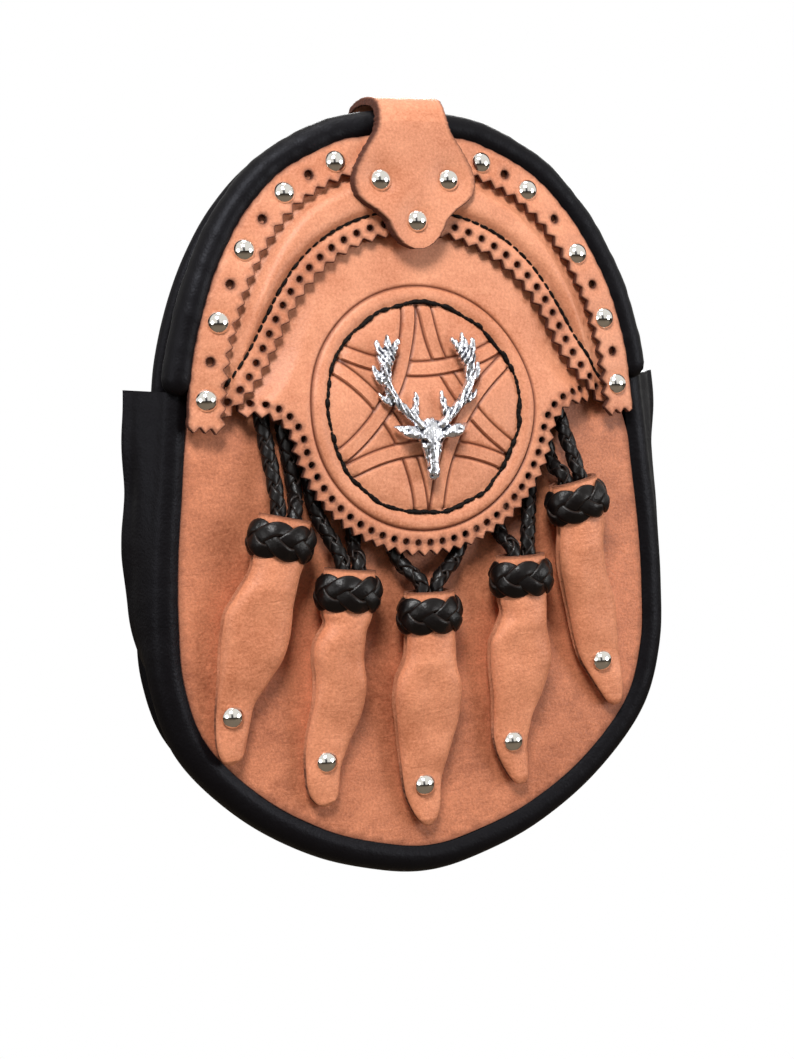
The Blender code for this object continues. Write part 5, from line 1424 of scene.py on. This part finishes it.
def stag_shape():
    """Vertices and faces of the face, ears and antlers, each one running into the next."""
    sides = 24
    turn = circle(sides)
    rings = []
    for z, half, out in smooth_points(FACE, steps=5) / 1000.0:
        y = -out * (0.45 + 0.55 * np.clip(-np.sin(turn), -0.8, 1.0))
        rings.append(np.stack([half * np.cos(turn), y, np.full(sides, z)], -1))
    parts = [(np.concatenate(rings), tube_faces(len(rings), sides))]
    for sign in (-1.0, 1.0):
        for rows, stand in [(BEAM, 1.3), (EAR, 1.5)] + [(tine, 1.3) for tine in TINES]:
            spine = smooth_points(rows, steps=6) / 1000.0
            path = np.stack([sign * spine[:, 0], -(0.0008 + 0.70 * spine[:, 2]) * stand, spine[:, 1]], -1)
            parts.append(limb(path, spine[:, 2], 10))
    return joined(parts)


def make_badge():
    """Cast stag's head: its shapes run together, then roughened like bark and set on the flap."""
    mesh = bpy.data.meshes.new("stag")
    vertices, faces = stag_shape()
    mesh.from_pydata(vertices.tolist(), [], faces)
    face_outwards(mesh)
    stag = placed("stag_casting", mesh)
    remesh = stag.modifiers.new("merge", "REMESH")
    remesh.mode, remesh.voxel_size = "VOXEL", 0.00030
    soften = stag.modifiers.new("soften", "SMOOTH")
    soften.factor, soften.iterations = 0.5, 3
    mesh = made_plain(stag, SILVER)
    points = read_numbers(mesh.vertices, "co", 3)
    normals = read_numbers(mesh.vertex_normals, "vector", 3)
    rise = stag_relief(points[:, 0] * 1000.0, points[:, 2] * 1000.0)
    points = points + normals * (rise / 1000.0)[:, None]
    a, b = read_numbers(mesh.edges, "vertices", 2, np.int64).T
    pull, links = np.zeros((len(points), 3)), np.zeros(len(points))
    for start, end in ((a, b), (b, a)):
        np.add.at(pull, start, points[end] - points[start])
        np.add.at(links, start, 1)
    bend = (pull / np.maximum(links, 1)[:, None] * normals).sum(1)
    hollow = np.clip(bend / 0.000035, 0.0, 1.0) + np.clip((0.0011 + points[:, 1]) / 0.0014, 0.0, 1.0) * 0.9
    for _ in range(2):
        hollow = neighbours_added(hollow, hollow, a, b) / (1.0 + links)
    points[:, 1] = np.minimum(points[:, 1], 0.0)
    heights = np.linspace(0.004, 0.046, 12)
    fronts = [min(depth_at(flap_surface, x, z) for x in (-0.010, 0.0, 0.010)) for z in heights]
    slope = np.polyfit(heights, fronts, 1)[0]
    level = min(f - slope * h for f, h in zip(fronts, heights)) - 0.0001
    points[:, 1] += level + slope * points[:, 2]
    mesh.vertices.foreach_set("co", (points + HANG).ravel())
    add_attribute(mesh, "hollow", hollow)
    mesh.update()
    settle(stag, "stag_badge")


def area_light(name, place, size, power):
    light = placed(name, bpy.data.lights.new(name, "AREA"))
    light.data.shape, light.data.size, light.data.energy = "DISK", size, power
    light.location = place
    light.rotation_euler = (Vector(POUCH_MIDDLE) - Vector(place)).to_track_quat("-Z", "Y").to_euler()


def set_floor():
    """Dark warm floor well below the hanging pouch, white where the camera sees it."""
    floor_mesh = bpy.data.meshes.new("floor")
    corners = [(FLOOR_REACH * x, FLOOR_REACH * y, FLOOR_Z) for x, y in ((-1, -1), (1, -1), (1, 1), (-1, 1))]
    floor_mesh.from_pydata(corners, [], [(0, 1, 2, 3)])
    floor = placed("floor", floor_mesh)
    material, wiring, _ = new_finish("floor_white")
    seen = wiring.node("ShaderNodeLightPath", output="Is Camera Ray")
    matt = wiring.node("ShaderNodeBsdfDiffuse", {"Color": (0.15, 0.12, 0.09, 1.0)})
    white = wiring.node("ShaderNodeEmission", {"Color": (1.0, 1.0, 1.0, 1.0), "Strength": 1.0})
    both = wiring.node("ShaderNodeMixShader", {0: seen, 1: matt, 2: white})
    wiring.node("ShaderNodeOutputMaterial", {"Surface": both}, output=None)
    floor_mesh.materials.append(material)


def set_world():
    """White studio. Metal mirrors white walls, a dark doorway a little right of the camera, a warm floor."""
    world = bpy.data.worlds.new("studio")
    bpy.context.scene.world = world
    wiring = cleared_wiring(world)
    toward = wiring.node("ShaderNodeTexCoord", output="Generated")
    side, height = (wiring.node("ShaderNodeSeparateXYZ", [toward], output=axis) for axis in "XZ")
    doorway = ((side + 0.22).maths("ABSOLUTE") * 7.0 - 0.6).clamped()
    ceiling, wall = (height * 4.0 - 1.4).clamped(), (height * 3.0 + 2.6).clamped()
    mirrored = wiring.mix(doorway.maths("MAXIMUM", ceiling), (0.07, 0.07, 0.08), (1.0, 0.99, 0.96))
    mirrored = wiring.mix(wall, (0.16, 0.12, 0.07), mirrored)
    soft, shiny, white = (wiring.node("ShaderNodeBackground", {"Color": colour, "Strength": strength})
                          for colour, strength in (((0.92, 0.95, 1.0, 1.0), 0.22), (mirrored, 0.85),
                                                   ((1.0, 1.0, 1.0, 1.0), 1.0)))
    glossy, seen = (wiring.node("ShaderNodeLightPath", output=f"Is {kind} Ray")
                    for kind in ("Glossy", "Camera"))
    lit = wiring.node("ShaderNodeMixShader", {0: glossy, 1: soft, 2: shiny})
    both = wiring.node("ShaderNodeMixShader", {0: seen, 1: lit, 2: white})
    wiring.node("ShaderNodeOutputWorld", {"Surface": both}, output=None)
    bpy.context.scene.view_settings.view_transform = "Standard"


set_camera()
make_cords()
make_knots()
make_tassel_leathers()
make_strip()
make_arch()
make_flap()
make_front_panel()
make_rolls()
make_gusset()
make_tab()
make_back()
make_studs()
make_badge()
set_floor()
for light in LIGHTS:
    area_light(*light)
set_world()
